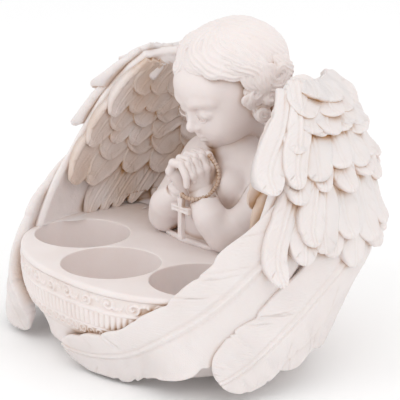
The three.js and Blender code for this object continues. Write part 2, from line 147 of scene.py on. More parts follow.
def ringLump(rings, uv=None, stain=None):
    # closed rings of points joined one to the next, with a fan over each end
    steps, around = rings.shape[:2]
    points = np.vstack([rings.reshape(-1, 3), rings[0].mean(0), rings[-1].mean(0)])
    i, j = np.meshgrid(np.arange(steps - 1), np.arange(around), indexing="ij")
    k = (j + 1) % around
    quads = np.stack([i * around + j, i * around + k, (i + 1) * around + k, (i + 1) * around + j], -1)
    j = np.arange(around)
    k = (j + 1) % around
    first = steps * around
    last = (steps - 1) * around
    tris = np.vstack([
        np.stack([np.full(around, first), k, j], -1),
        np.stack([np.full(around, first + 1), last + j, last + k], -1),
    ])
    if uv is not None:
        uv = np.vstack([uv.reshape(-1, 2), uv[0].mean(0), uv[-1].mean(0)])
    if stain is not None:
        stain = np.concatenate([stain.ravel(), [stain[0].mean(), stain[-1].mean()]])
    return facingOut(lump(points, quads, tris, uv, stain))


def fused(lumps, voxel):
    # overlapping lumps become one clean skin
    one = gather(lumps)
    transform = openvdb.createLinearTransform(voxelSize=voxel)
    grid = openvdb.FloatGrid.createLevelSetFromPolygons(
        one["points"].astype(np.float32),
        triangles=one["tris"].astype(np.uint32),
        quads=one["quads"].astype(np.uint32),
        transform=transform,
        halfWidth=3.0,
    )
    points, quads = grid.convertToQuads(isovalue=0)
    return relaxed(facingOut(lump(points, quads)), 1)


def relaxed(one, rounds):
    # takes the voxel steps out of a skin
    p = one["points"]
    q = one["quads"]
    pairs = np.vstack([q[:, [0, 1]], q[:, [1, 2]], q[:, [2, 3]], q[:, [3, 0]]])
    pairs = np.vstack([pairs, pairs[:, ::-1]])
    count = np.bincount(pairs[:, 0], minlength=len(p))[:, None]
    for turn in range(rounds * 2):
        near = np.stack([np.bincount(pairs[:, 0], p[pairs[:, 1], k], len(p)) for k in range(3)], -1)
        pull = near / np.maximum(count, 1) - p
        p = p + pull * (0.5 if turn % 2 == 0 else -0.42)
    one["points"] = p
    return one


# ---- clay: a field of distances that shapes are blended into ----
farAway = 4.0  # the field's value in empty space, in millimetres


class Clay:
    def __init__(self, low, high, voxel):
        self.low = np.array(low, float)
        self.voxel = voxel
        self.size = np.ceil((np.array(high) - self.low) / voxel).astype(int) + 1
        self.field = np.full(self.size, farAway, np.float32)

    def part(self, low, high):
        a = np.clip(np.floor((np.array(low) - self.low) / self.voxel).astype(int), 0, self.size - 2)
        b = np.clip(np.ceil((np.array(high) - self.low) / self.voxel).astype(int) + 1, a + 2, self.size)
        axes = [self.low[k] + np.arange(a[k], b[k]) * self.voxel for k in range(3)]
        grid = np.meshgrid(*axes, indexing="ij", sparse=True)
        return tuple(slice(a[k], b[k]) for k in range(3)), grid

    def blend(self, where, distance, k, cut):
        old = self.field[where]
        if cut:
            h = np.clip(0.5 - 0.5 * (old + distance) / k, 0, 1)
            new = mix(old, -distance, h) + k * h * (1 - h)
        else:
            h = np.clip(0.5 + 0.5 * (distance - old) / k, 0, 1)
            new = mix(distance, old, h) - k * h * (1 - h)
        self.field[where] = new

    def ball(self, centre, radii, k=1.0, cut=False):
        centre = np.array(centre, float)
        radii = np.broadcast_to(np.array(radii, float), 3)
        where, (x, y, z) = self.part(centre - radii - k - 2, centre + radii + k + 2)
        d = [(g - c) for g, c in zip((x, y, z), centre)]
        k0 = np.sqrt(sum((v / r) ** 2 for v, r in zip(d, radii)))
        k1 = np.sqrt(sum((v / r**2) ** 2 for v, r in zip(d, radii)))
        self.blend(where, k0 * (k0 - 1) / np.maximum(k1, 1e-6), k, cut)

    def stroke(self, points, radii, k=1.0, cut=False, steps=0):
        # a round bar of changing radius along points, or along a curve through them
        points = np.array(points, float)
        if steps:
            t = np.linspace(0, 1, steps + 1)
            radii = spread(radii, t)
            points = curveThrough(points, t)
        reach = max(radii) + k + 2
        where, (x, y, z) = self.part(points.min(0) - reach, points.max(0) + reach)
        best = None
        for a, b, ra, rb in zip(points[:-1], points[1:], radii[:-1], radii[1:]):
            ab = b - a
            t = ((x - a[0]) * ab[0] + (y - a[1]) * ab[1] + (z - a[2]) * ab[2]) / max(ab @ ab, 1e-9)
            t = np.clip(t, 0, 1)
            aside = [g - a[k] - t * ab[k] for k, g in enumerate((x, y, z))]
            d = np.sqrt(aside[0] ** 2 + aside[1] ** 2 + aside[2] ** 2) - mix(ra, rb, t)
            best = d if best is None else np.minimum(best, d)
        self.blend(where, best, k, cut)

    def skin(self, field=None, rounds=1):
        grid = openvdb.FloatGrid(farAway)
        field = self.field if field is None else field
        edge = np.full(np.array(field.shape) + 2, farAway, np.float32)
        edge[1:-1, 1:-1, 1:-1] = np.clip(field, -farAway, farAway)
        grid.copyFromArray(edge)
        points, quads = grid.convertToQuads(isovalue=0)
        points = (points - 1) * self.voxel + self.low
        return relaxed(facingOut(lump(points, quads)), rounds)


# ---- materials ----
def linear(hexColour):
    parts = [int(hexColour[i : i + 2], 16) / 255 for i in (1, 3, 5)]
    return tuple(c / 12.92 if c <= 0.04045 else ((c + 0.055) / 1.055) ** 2.4 for c in parts) + (1.0,)


def addNode(tree, kind, inputs=None, **settings):
    # inputs: socket name or number -> a value, or an (other node, its socket) pair
    node = tree.nodes.new(kind)
    for key, value in settings.items():
        setattr(node, key, value)
    for key, value in (inputs or {}).items():
        if isinstance(value, tuple) and len(value) == 2 and isinstance(value[0], bpy.types.Node):
            tree.links.new(value[0].outputs[value[1]], node.inputs[key])
        else:
            node.inputs[key].default_value = value
    return node


def newMaterial(name):
    material = bpy.data.materials.new(name)
    material.use_nodes = True
    tree = material.node_tree
    tree.nodes.clear()
    output = addNode(tree, "ShaderNodeOutputMaterial")
    return material, tree, output


# Cast polyester resin: a matt, slightly soft surface, brushed with a thin warm stain that stays in hollows,
# where the same brown also paints shade.
# Its bare parts are off-white, feathers take a little more stain, and skin is rubbed smoother.
barbSlant = 1.2  # how far a barb runs back towards the root for each step across the vane
resinLooks = {
    "castResinIvory": {"body": "#f1eae8", "shade": "#e6dad6", "stain": "#b08455", "rough": 0.5},
    "castResinFeather": {"body": "#f1ebea", "shade": "#e7dedb", "stain": "#bd8a4c", "rough": 0.54},
    "castResinSkin": {"body": "#efe6e4", "shade": "#e7dbd7", "stain": "#b58d6a", "rough": 0.46},
}


# (scale, detail), with scales in cells to the metre: colour drifts over 18 mm, the stain wash and its painted
# shade break up over 4 mm and the brushed skin over 1.1 mm
resinTexture = {"clouds": (55.0, 4.0), "ripple": (260.0, 2.0), "grain": (900.0, 3.0)}


def objectNoise(tree, place, scale, detail):
    return addNode(tree, "ShaderNodeTexNoise",
                   {"Vector": (place, "Object"), "Scale": scale, "Detail": detail})


def castResin(name, look):
    material, tree, output = newMaterial(name)
    place = addNode(tree, "ShaderNodeTexCoord")
    clouds = objectNoise(tree, place, *resinTexture["clouds"])
    grain = objectNoise(tree, place, *resinTexture["grain"])
    ripple = objectNoise(tree, place, *resinTexture["ripple"])
    # how far each point is browned: partly the resin's stain wash, partly painted shade in hollows and under
    # vanes
    depth = addNode(tree, "ShaderNodeAttribute", attribute_name="stain")
    broken = addNode(tree, "ShaderNodeMath", {0: (ripple, 0), 1: 0.5, 2: 0.75}, operation="MULTIPLY_ADD")
    washAndShadeShare = addNode(tree, "ShaderNodeMath", {0: (depth, 2), 1: (broken, 0)},
                      operation="MULTIPLY", use_clamp=True)
    cloudy = addNode(tree, "ShaderNodeMix",
                     {0: (clouds, 0), 6: linear(look["body"]), 7: linear(look["shade"])}, data_type="RGBA")
    colour = addNode(tree, "ShaderNodeMix",
                     {0: (washAndShadeShare, 0), 6: (cloudy, 2), 7: linear(look["stain"])}, data_type="RGBA")
    rough = addNode(tree, "ShaderNodeMapRange",
                    {0: (ripple, 0), 3: look["rough"] - 0.06, 4: look["rough"] + 0.1})
    # brush and mould texture about 0.4 to 1 mm across
    surface = addNode(tree, "ShaderNodeBump", {"Height": (grain, 0), "Strength": 0.16, "Distance": 0.0004})
    if name == "castResinFeather":
        # barbs run out from the quill at a slant, about 0.7 mm apart
        # u is along the quill and v across it, in centimetres
        uv = addNode(tree, "ShaderNodeSeparateXYZ", {0: (place, "UV")})
        out = addNode(tree, "ShaderNodeMath", {0: (uv, 1)}, operation="ABSOLUTE")
        slant = addNode(tree, "ShaderNodeMath", {0: (out, 0), 1: -barbSlant, 2: (uv, 0)},
                        operation="MULTIPLY_ADD")
        wander = addNode(tree, "ShaderNodeMath", {0: (ripple, 0), 1: 0.12, 2: (slant, 0)},
                         operation="MULTIPLY_ADD")
        line = addNode(tree, "ShaderNodeMath", {0: (wander, 0), 1: 90.0}, operation="MULTIPLY")
        barb = addNode(tree, "ShaderNodeMath", {0: (line, 0)}, operation="SINE")
        surface = addNode(tree, "ShaderNodeBump",
                          {"Height": (barb, 0), "Strength": 0.3, "Distance": 0.0002, "Normal": (surface, 0)})
    skin = addNode(tree, "ShaderNodeBsdfPrincipled", {
        "Base Color": (colour, 2), "Roughness": (rough, 0), "Normal": (surface, 0),
        "IOR": 1.5, "Subsurface Weight": 0.12, "Subsurface Radius": (0.9, 0.6, 0.45),
        "Subsurface Scale": 0.002,
    })
    tree.links.new(skin.outputs[0], output.inputs[0])
    return material


def woolFelt(name):
    # pressed felt: a soft dull sheet with loose fibres
    material, tree, output = newMaterial(name)
    place = addNode(tree, "ShaderNodeTexCoord")
    fibre = objectNoise(tree, place, 1400.0, 6.0)
    tint = addNode(tree, "ShaderNodeMix", {0: (fibre, 0), 6: linear("#cfc8bb"), 7: linear("#b3aa9a")},
                   data_type="RGBA")
    fuzz = addNode(tree, "ShaderNodeBump", {"Height": (fibre, 0), "Strength": 0.6, "Distance": 0.0003})
    skin = addNode(tree, "ShaderNodeBsdfPrincipled",
                   {"Base Color": (tint, 2), "Normal": (fuzz, 0), "Roughness": 0.95, "Sheen Weight": 0.4})
    tree.links.new(skin.outputs[0], output.inputs[0])
    return material


materials = {name: castResin(name, look) for name, look in resinLooks.items()}
materials["pressedFelt"] = woolFelt("pressedFelt")

# ---- pieces ----
pieces = []


def setMesh(mesh, one):
    quads, tris = one["quads"], one["tris"]
    mesh.vertices.add(len(one["points"]))
    mesh.vertices.foreach_set("co", (one["points"] * millimetre).astype(np.float32).ravel())
    mesh.loops.add(quads.size + tris.size)
    mesh.loops.foreach_set("vertex_index", np.concatenate([quads.ravel(), tris.ravel()]).astype(np.int32))
    mesh.polygons.add(len(quads) + len(tris))
    starts = np.concatenate([np.arange(len(quads)) * 4, quads.size + np.arange(len(tris)) * 3])
    mesh.polygons.foreach_set("loop_start", starts.astype(np.int32))
    mesh.update(calc_edges=True)
    corners = np.concatenate([quads.ravel(), tris.ravel()])
    layer = mesh.uv_layers.new(name="along")
    layer.data.foreach_set("uv", one["uv"][corners].astype(np.float32).ravel())
    mesh.validate()
    mesh.shade_smooth()


def objectFrom(name, one):
    mesh = bpy.data.meshes.new(name)
    setMesh(mesh, one)
    piece = bpy.data.objects.new(name, mesh)
    bpy.context.scene.collection.objects.link(piece)
    return piece


def keepPiece(piece, stain, finish, replaced):
    piece.data.materials.clear()
    piece.data.materials.append(materials[finish])
    pieces.append({"piece": piece, "stain": stain, "finish": finish, "replaced": replaced})


def addPiece(name, one, finish, replaced):
    keepPiece(objectFrom(name, one), one["stain"], finish, replaced)


def plainMesh(thing):
    # the evaluated result as a mesh of its own
    bpy.context.view_layer.update()
    return bpy.data.meshes.new_from_object(thing.evaluated_get(bpy.context.evaluated_depsgraph_get()))


# ---- the shell that the wings and the bowl share ----
wells = {"radius": 20.5, "depth": 20, "gap": 1.2, "arcDrop": 14.5, "outerY": -20.6, "deck": 41,
         "sideWall": 9.9, "frontWall": 5.4, "lipRound": 0.5, "floorRound": 2.2}
wellPitch = math.sqrt((2 * wells["radius"] + wells["gap"]) ** 2 - wells["arcDrop"] ** 2)
wellCentres = [
    (-wellPitch, wells["outerY"]),
    (0, wells["outerY"] - wells["arcDrop"]),
    (wellPitch, wells["outerY"]),
]
shell = {"halfWidth": wellPitch + wells["radius"] + wells["sideWall"], "widest": 45, "crown": 93,
         "square": 2.4, "backDepth": 0.86, "backTaper": 0.5, "frontTaper": 0.32, "webThickness": 4,
         "rootPad": 9, "middle": 10, "middleHeight": 43, "lean": 0.13}


def shellCentre(z):
    # the shell leans back as it rises
    return shell["middle"] + shell["lean"] * (z - shell["middleHeight"])


shellFront = (wells["arcDrop"] - wells["outerY"] + wells["radius"] + wells["frontWall"]
              + shellCentre(wells["deck"]))
shell["frontDepth"] = shellFront / shell["halfWidth"]


def folded(angle):
    # angles behind either side are read as the mirror of those before it: -90 is the front and 90 the back
    return np.where(angle > 90, 180 - angle, np.where(angle < -90, -180 - angle, angle))


def halfWidthAt(z, angle=0):
    angle = folded(angle)
    rise = z - shell["widest"]
    # the front stays steep beside the wells and draws in below them
    front = shell["frontTaper"] * (0.4 + 0.6 * smooth((-rise - 14) / 22))
    taper = shell["backTaper"] * smooth((angle + 8) / 50) + front * smooth((-38 - angle) / 18)
    above = shell["halfWidth"] * np.sqrt(np.maximum(0.05, 1 - (np.maximum(rise, 0) / shell["crown"]) ** 2))
    return np.where(rise <= 0, shell["halfWidth"] + rise * taper, above)


def shellPoint(angle, z):
    a = np.radians(angle)
    depth = np.where(np.sin(a) < 0, shell["frontDepth"], shell["backDepth"])
    n = shell["square"]
    r = halfWidthAt(z, angle) / (np.abs(np.cos(a)) ** n + np.abs(np.sin(a) / depth) ** n) ** (1 / n)
    return np.stack([r * np.cos(a), shellCentre(z) + r * np.sin(a), z + 0 * r], -1)


def onShell(angle, z, offset):
    around = shellPoint(angle + 0.5, z) - shellPoint(angle - 0.5, z)
    up = shellPoint(angle, z + 0.5) - shellPoint(angle, z - 0.5)
    return shellPoint(angle, z) + unit(np.cross(around, up)) * np.asarray(offset)[..., None]


def mmPerDegree(z):
    return halfWidthAt(z) * math.pi / 180


def mmPerRise(z):
    zero = np.zeros_like(z)
    return np.linalg.norm(shellPoint(zero, z + 0.5) - shellPoint(zero, z - 0.5), axis=-1)


def webDepth(angle, z):
    return shell["webThickness"] + shell["rootPad"] * smooth((angle - 42) / 40) * (1 - smooth((z - 50) / 45))


# ---- feathers ----
# front and back are shares of the half width on each side of the quill, from root to tip
# ground is how far along the vane its underside stays on the wing before it comes free
quillFeather = {
    "across": 56, "under": 8, "spacing": 0.5, "thickness": 2.2, "rootShare": 0.5, "closing": 0.72,
    "quill": 0.7, "quillWidth": 0.8, "barb": 0.34, "barbPitch": 1.8, "splits": 9, "splitDepth": 0.16,
    "cracks": 12, "curl": 0.0, "rim": 0.0, "front": [1, 1], "back": [1, 1], "ground": 0.75,
}
covertFeather = {
    "across": 28, "under": 6, "spacing": 0.5, "thickness": 2.0, "rootShare": 0.66, "closing": 0.52,
    "quill": 0.34, "quillWidth": 0.6, "barb": 0.3, "barbPitch": 1.6, "splits": 2, "splitDepth": 0.12,
    "cracks": 5, "curl": 0.8, "rim": 0.25, "front": [1, 1], "back": [1, 1], "ground": 0.8,
}


def feather(path, halfWidth, look, seed, tilt=0.0, facing=1, base=None):
    # a vane along path, a list of (angle, height, lift off the shell), rounded at the tip
    rng = np.random.default_rng(seed)
    rough = curveThrough(path, np.linspace(0, 1, 40))
    steps = np.diff(rough, axis=0)
    mm = np.hypot(steps[:, 0] * mmPerDegree(rough[1:, 1]), steps[:, 1] * mmPerRise(rough[1:, 1]))
    length = mm.sum()
    ns = max(24, int(length / look["spacing"]))
    s = 1 - (1 - np.linspace(0, 1, ns)) ** 1.25
    at = curveThrough(path, s)
    ahead = curveThrough(path, s + 0.004) - curveThrough(path, s - 0.004)
    sx, sz = mmPerDegree(at[:, 1]), mmPerRise(at[:, 1])
    norm = np.hypot(ahead[:, 0] * sx, ahead[:, 1] * sz)
    goX, goZ = (ahead[:, 0] * sx / norm)[:, None], (ahead[:, 1] * sz / norm)[:, None]
    arc = (s * length)[:, None]
    u = np.linspace(-1, 1, look["across"])[None, :]
    share = mix(look["rootShare"], 1, smooth(s / 0.45))
    closed = np.maximum(0, s - look["closing"]) / (1.002 - look["closing"])
    share = share * np.sqrt(np.clip(1 - closed**2, 0, 1))
    half = np.maximum(halfWidth * share, 0.25)[:, None]
    # splits where barbs have parted, which notch the outline
    sideHalf = []
    for side in (-1, 1):
        notch = np.zeros((ns, 1))
        for _ in range(rng.integers(look["splits"] // 2, look["splits"] + 1)):
            where = rng.uniform(0.18, 0.93) * length
            wide = rng.uniform(0.5, 1.3)
            deep = rng.uniform(0.3, 1) * look["splitDepth"]
            gap = arc - where
            notch = np.maximum(notch, deep * np.where(gap < 0, bump(gap / wide), bump(gap / (wide * 2.6))))
        wave = 0.035 * np.sin(arc / rng.uniform(2.5, 4) + rng.uniform(0, 6))
        lean = spread(look["front"] if side > 0 else look["back"], s)[:, None]
        sideHalf.append(half * lean * (1 - notch + wave))
    across = np.where(u < 0, u * sideHalf[0], u * sideHalf[1])
    drift = 0.8 * np.sin(arc / length * 5 + rng.uniform(0, 6)) * 0.12 * half
    slant = arc - barbSlant * np.abs(across - drift)
    mmNoise = np.stack(np.broadcast_arrays(arc / 3.0, across / 5.0, 0 * across + seed), -1)
    wander = softNoise(mmNoise, 1.0, seed % 97 + 3)
    phase = slant / look["barbPitch"] + 0.6 * wander
    barb = look["barb"] * (0.5 + 0.5 * np.cos(2 * math.pi * phase)) * (0.55 + 0.45 * wander)
    off = across - drift
    quillWidth = look["quillWidth"] * mix(1.25, 0.5, s)[:, None]
    quill = look["quill"] * mix(1.1, 0.45, s)[:, None] * bump(off / quillWidth)
    groove = 0.6 * look["quill"] * bump((np.abs(off) - 2.1 * quillWidth) / (0.8 * quillWidth))
    cracks = np.zeros_like(across)
    for _ in range(look["cracks"]):
        where = rng.uniform(0.05, 0.95) * length
        side = rng.choice([-1, 1])
        start = rng.uniform(0.2, 0.6)
        reach = smooth((side * off / half - start) / 0.2)
        cracks = np.maximum(cracks, rng.uniform(0.4, 1) * bump((slant - where) / 0.32) * reach)
    end = np.sqrt(np.clip(1 - (np.maximum(0, s - 0.9) / 0.104) ** 2, 0.12, 1))[:, None]
    crown = look["thickness"] * (0.5 + 0.5 * np.sqrt(np.clip(1 - (0.96 * u) ** 2, 0, 1))) * mix(0.45, 1, end)
    fade = smooth((1 - np.abs(u)) / 0.12)
    # the vane's edge stands up a little as a rim
    rim = look["rim"] * bump((1 - np.abs(u) - 0.13) / 0.1) * smooth(s / 0.4)[:, None]
    rim = rim + look["rim"] * bump((s[:, None] - 0.93) / 0.045) * smooth((1 - np.abs(u)) / 0.3)
    detail = (barb - 0.06 - 0.275 * cracks * look["thickness"] - groove) * fade + quill + rim
    lift = at[:, 2:3] + look["curl"] * smooth((s - 0.62) / 0.38)[:, None] ** 2
    top = lift + tilt * u + crown + detail
    under = np.linspace(0.94, -0.94, look["under"])[None, :]
    underAcross = np.where(under < 0, under * sideHalf[0], under * sideHalf[1])
    free = smooth((s - look["ground"]) / (1.02 - look["ground"]))[:, None]
    bottom = (lift + tilt * under + 0.3 * look["thickness"] * (1 - under**2)) * free - 0.25 * (1 - free)
    edge = 0.35 * look["thickness"]
    rims = [(-1.0, -sideHalf[0] - 0.2), (1.0, sideHalf[1] + 0.2)]
    rimLift = [lift + tilt * side + edge for side, _ in rims]
    aside = np.hstack([across, rims[1][1], underAcross, rims[0][1]])
    height = np.hstack([top, rimLift[1], bottom, rimLift[0]])
    angle = at[:, 0:1] + goZ * aside / sx[:, None]
    z = at[:, 1:2] - goX * aside / sz[:, None]
    if base is not None:
        height = height + base(angle, z)
    points = onShell(angle, z, facing * height)
    uv = np.stack(np.broadcast_arrays(arc / 10, aside / 10), -1)
    # darker in the quill grooves, cracks and between barbs: partly the stain wash, partly painted shade
    grooveWashAndShade = 0.6 * groove / look["quill"] + 0.9 * cracks + 0.2 * (1 - barb / look["barb"])
    grooveWashAndShade = np.clip(grooveWashAndShade, 0, 1)
    # the vane's underside is darkened as painted shade
    stain = np.hstack([grooveWashAndShade, np.zeros((ns, 1)), np.full((ns, look["under"]), 0.15), np.zeros((ns, 1))])
    return ringLump(points, uv, stain)


# the foremost feather wraps the bowl on the left and hangs beside it on the right
leadFeather = {
    "left": [[10, 78, 0.4], [-17, 56, 0.6], [-38, 34, 0.8], [-60, 17.5, 0.8], [-79, 11.5, 0.8],
             [-97, 8.5, 0.6]],
    "right": [[10, 78, 0.4], [-17, 56, 0.8], [-33, 34, 2.4], [-46, 13, 4.6], [-50, 3.5, 5]],
    "halfWidth": 11.5, "splits": 16, "splitDepth": 0.09, "seed": 11,
    "front": {"left": [2.5, 1.9, 1.15, 0.85, 0.7, 0.65], "right": [1.5, 1.1, 1.0, 1.0, 1.0, 1.0]},
    "back": {"left": [1.0, 1.6, 1.75, 1.3, 0.85, 0.65], "right": [1.0, 1.2, 1.2, 1.1, 1.0, 1.0]},
}
flightFeathers = [
    {"path": [[36, 72, 3], [8, 44, 3.2], [-17, 22, 3.6], [-31, 9, 4]], "halfWidth": 10},
    {"path": [[50, 72, 1.4], [25, 48, 1.6], [2, 27, 1.8], [-13, 12, 2]], "halfWidth": 8},
    {"path": [[61, 72, 1.4], [39, 50, 1.6], [17, 31, 1.8], [2, 16, 2]], "halfWidth": 7.5},
    {"path": [[70, 71, 1.4], [52, 53, 1.6], [33, 36, 1.8], [18, 21, 2]], "halfWidth": 7.5},
    {"path": [[79, 69, 1.4], [65, 55, 1.6], [49, 40, 1.8], [36, 26, 2]], "halfWidth": 7.5},
    {"path": [[84, 62, 1.4], [76, 52, 1.6], [65, 42, 1.8], [56, 31, 2]], "halfWidth": 7},
]
# each vane tucks under the one before it
flightLook = {"tilt": -1.1, "spread": 1.22, "seed": {"left": 20, "right": 60}}


def makeFlightFeathers():
    print("flight feathers")
    for side in ("left", "right"):
        look = dict(quillFeather, splits=leadFeather["splits"], splitDepth=leadFeather["splitDepth"],
                    front=leadFeather["front"][side], back=leadFeather["back"][side])
        vanes = [feather(leadFeather[side], leadFeather["halfWidth"], look, leadFeather["seed"])]
        look = dict(quillFeather, rootShare=0.8, closing=0.8, splitDepth=0.1, front=[1.2, 1.3, 1.1, 1.0])
        for i, spec in enumerate(flightFeathers):
            vanes.append(feather(spec["path"], spec["halfWidth"] * flightLook["spread"], look,
                                 flightLook["seed"][side] + i, tilt=flightLook["tilt"]))
        for i, vane in enumerate(vanes):
            number = str(i + 1)
            addPiece(side + "FlightFeather" + number, sided(vane, side), "castResinFeather",
                     [side + "_flight_feather_" + number])


# rows of coverts: (count, reach, extra lift, shift) for each layer, laid from the under layer up
covertRows = [
    {"part": "lower_coverts", "roots": [-9, 66], "tips": [-15, 78],
     "rootZ": [88, 82], "tipZ": [44, 48], "rootLift": 0.4, "tipLift": 6.6, "rise": 0.8, "ragged": 0.2,
     "layers": [(8, 1.0, 0.0, 0.0), (7, 0.8, 1.4, 0.5)]},
    {"part": "middle_coverts", "roots": [-7, 56], "tips": [-17, 70],
     "rootZ": [105, 97], "tipZ": [76, 74], "rootLift": 0.4, "tipLift": 5.4, "rise": 1.2, "ragged": 0.25,
     "layers": [(8, 1.05, 0.0, 0.0), (6, 0.82, 1.5, 0.5)]},
    {"part": "upper_coverts", "roots": [-2, 44], "tips": [-19, 60],
     "rootZ": [114, 108], "tipZ": [93, 90], "rootLift": 0.4, "tipLift": 4.2, "rise": 1.2, "ragged": 0.25,
     "layers": [(6, 1.1, 0.0, 0.0), (5, 0.85, 1.3, 0.5)]},
    {"part": "wrist_coverts", "roots": [4, 30], "tips": [-10, 50],
     "rootZ": [115.5, 112.5], "tipZ": [105, 101],
     "rootLift": 0.6, "tipLift": 3.4, "rise": 1.1, "ragged": 0.25,
     "layers": [(4, 1.25, 0.0, 0.0), (3, 0.9, 0.9, 0.5)]},
]
innerRows = [
    {"part": "inner_long_coverts", "roots": [2, 58], "tips": [-14, 48],
     "rootZ": [69, 67], "tipZ": [40.6, 40.6], "rootLift": 0.9, "tipLift": 1.6, "rise": 1.2, "ragged": 0.0,
     "layers": [(8, 1.0, 0.0, 0.0)]},
    {"part": "inner_lower_coverts", "roots": [-9, 58], "tips": [-28, 40],
     "rootZ": [86, 80], "tipZ": [62, 58], "rootLift": 0.9, "tipLift": 3.6, "rise": 1, "ragged": 0.14,
     "layers": [(5, 1.12, 0.0, 0.0), (4, 0.72, 1.1, 0.5)]},
    {"part": "inner_middle_coverts", "roots": [-7, 52], "tips": [-23, 36],
     "rootZ": [101, 95], "tipZ": [79, 74], "rootLift": 0.9, "tipLift": 3.6, "rise": 1, "ragged": 0.14,
     "layers": [(5, 1.15, 0.0, 0.0), (4, 0.75, 1.1, 0.5)]},
    {"part": "inner_upper_coverts", "roots": [-3, 40], "tips": [-17, 26],
     "rootZ": [114, 108], "tipZ": [95, 90], "rootLift": 0.9, "tipLift": 3.6, "rise": 1, "ragged": 0.14,
     "layers": [(4, 1.2, 0.0, 0.0), (3, 0.75, 1.1, 0.5)]},
]


# bolder feathers that hang down the wing's front edge
edgeFeathers = {
    "middle_coverts": [
        {"path": [[-5, 113, 0.5], [-13, 99, 2.6], [-20, 87, 4.6], [-21, 78, 7]],
         "halfWidth": 6.5, "curl": 2.4, "seed": 900},
        {"path": [[2, 115, 1.5], [-6, 100, 4.2], [-11, 88, 5.6], [-12, 79, 6.8]],
         "halfWidth": 5.6, "curl": 1.4, "seed": 901},
    ],
    "lower_coverts": [
        {"path": [[-7, 86, 1.5], [-14, 72, 3.4], [-18, 57, 4.6], [-17, 46, 7]],
         "halfWidth": 5.0, "curl": 3.0, "seed": 902},
        {"path": [[2, 90, 2.5], [-4, 76, 5.0], [-6, 66, 6.2], [-6, 58, 7.0]],
         "halfWidth": 6.2, "curl": 1.2, "seed": 903},
    ],
}
edgeLook = {"across": 36, "barb": 0.26, "barbPitch": 2.0, "cracks": 7, "quill": 0.45}
covertOverlap = 1.32  # how much wider a covert is than its share of the row
# the right wing's edge is plainer: its bold feathers are turned back, pressed flatter and narrower
plainEdge = {"turn": 7, "lift": 0.45, "width": 0.8}


def covertRow(row, inner, seed, side):
    rng = np.random.default_rng(seed)
    vanes = []
    for count, reach, extra, shift in row["layers"]:
        span = abs(row["tips"][1] - row["tips"][0]) + abs(row["roots"][1] - row["roots"][0])
        width = covertOverlap * span / 2 / (count + shift) * mmPerDegree(80.0) * 0.5
        for i in range(count):
            u = (i + 0.5 + shift) / (count + 2 * shift)
            end = reach * rng.uniform(1 - row["ragged"], 1.04)
            sway = rng.uniform(-3.0, 3.0)
            path = []
            for t in np.linspace(0, end, 6):
                angle = mix(mix(*row["roots"], u), mix(*row["tips"], u), t) + sway * t * t
                z = mix(mix(*row["rootZ"], u), mix(*row["tipZ"], u), t)
                lift = mix(row["rootLift"], row["tipLift"], t ** row["rise"]) + extra * t / reach
                path.append([angle, z, lift])
            look = dict(covertFeather, curl=rng.uniform(0.2, 0.9) if inner else rng.uniform(0.4, 2.6),
                        rim=0.45 if inner else 0.2, ground=0.55 if inner else 0.82)
            half = width * rng.uniform(0.92, 1.08)
            own = seed * 50 + i + int(100 * shift)
            if inner:
                vanes.append(feather(path, half, look, own, tilt=-0.5, facing=-1, base=webDepth))
            else:
                vanes.append(feather(path, half, look, own, tilt=-0.6))
    for spec in [] if inner else edgeFeathers.get(row["part"], []):
        look = dict(covertFeather, **edgeLook, curl=spec["curl"])
        path, half = spec["path"], spec["halfWidth"]
        if side == "right":
            path = [[angle + plainEdge["turn"], z, lift * plainEdge["lift"]] for angle, z, lift in path]
            half *= plainEdge["width"]
        vanes.append(feather(path, half, look, spec["seed"] + seed))
    return gather(vanes)


def makeCoverts():
    print("coverts")
    for n, row in enumerate(covertRows + innerRows):
        inner = row in innerRows
        for side in ("left", "right"):
            one = covertRow(row, inner, n + (33 if side == "right" else 3), side)
            name = side + "".join(word.capitalize() for word in row["part"].split("_"))
            addPiece(name, sided(one, side), "castResinFeather", [side + "_" + row["part"]])


# ---- wing walls with the knob at the wrist ----
wing = {"low": 40.7, "top": 115.0, "rows": 90, "columns": 70, "edgeRound": 2.4, "voxel": 0.66,
        "frontEdge": [[41, -35], [54, -29], [62, -25], [70, -21], [82, -17], [95, -14], [109, -8], [117, -1]],
        "backEdge": [[41, 89.9], [56, 89.9], [62, 86], [72, 74], [85, 64], [100, 52], [117, 22]],
        "knob": [[43, 19, 104], [42.5, 27, 111.5], [40.5, 37, 107]], "knobRadii": [3.8, 5.2, 4.6],
        "strands": 7, "knobAside": {"left": [0, 0, 0], "right": [3.5, 2, -2]},
        "knobShare": {"left": 1.0, "right": 0.72}}


def tube(path, radii, sides=20, steps=60, ridges=0, ridge=0.0, twist=0.0):
    # a bar along a curve; ridges run along it as strands do
    t = np.linspace(0, 1, steps)
    centre = curveThrough(path, t)
    ahead = unit(np.gradient(centre, axis=0))
    up = np.zeros_like(ahead)
    up[0] = np.cross(ahead[0], [0.3, 0.2, 0.93])
    for i in range(1, steps):
        up[i] = up[i - 1] - ahead[i] * (up[i - 1] @ ahead[i])
        up[i] /= np.linalg.norm(up[i])
    up[0] /= np.linalg.norm(up[0])
    other = np.cross(ahead, up)
    a = np.linspace(0, 2 * math.pi, sides, endpoint=False)
    ends = np.sqrt(np.clip(1 - (np.maximum(0, np.abs(2 * t - 1) - 0.86) / 0.145) ** 2, 0.02, 1))
    radius = (spread(radii, t) * ends)[:, None]
    radius = radius * (1 + ridge * np.cos(ridges * a[None, :] + twist * t[:, None]))
    rings = centre[:, None] + up[:, None] * (radius * np.cos(a))[..., None]
    rings = rings + other[:, None] * (radius * np.sin(a))[..., None]
    return ringLump(rings)


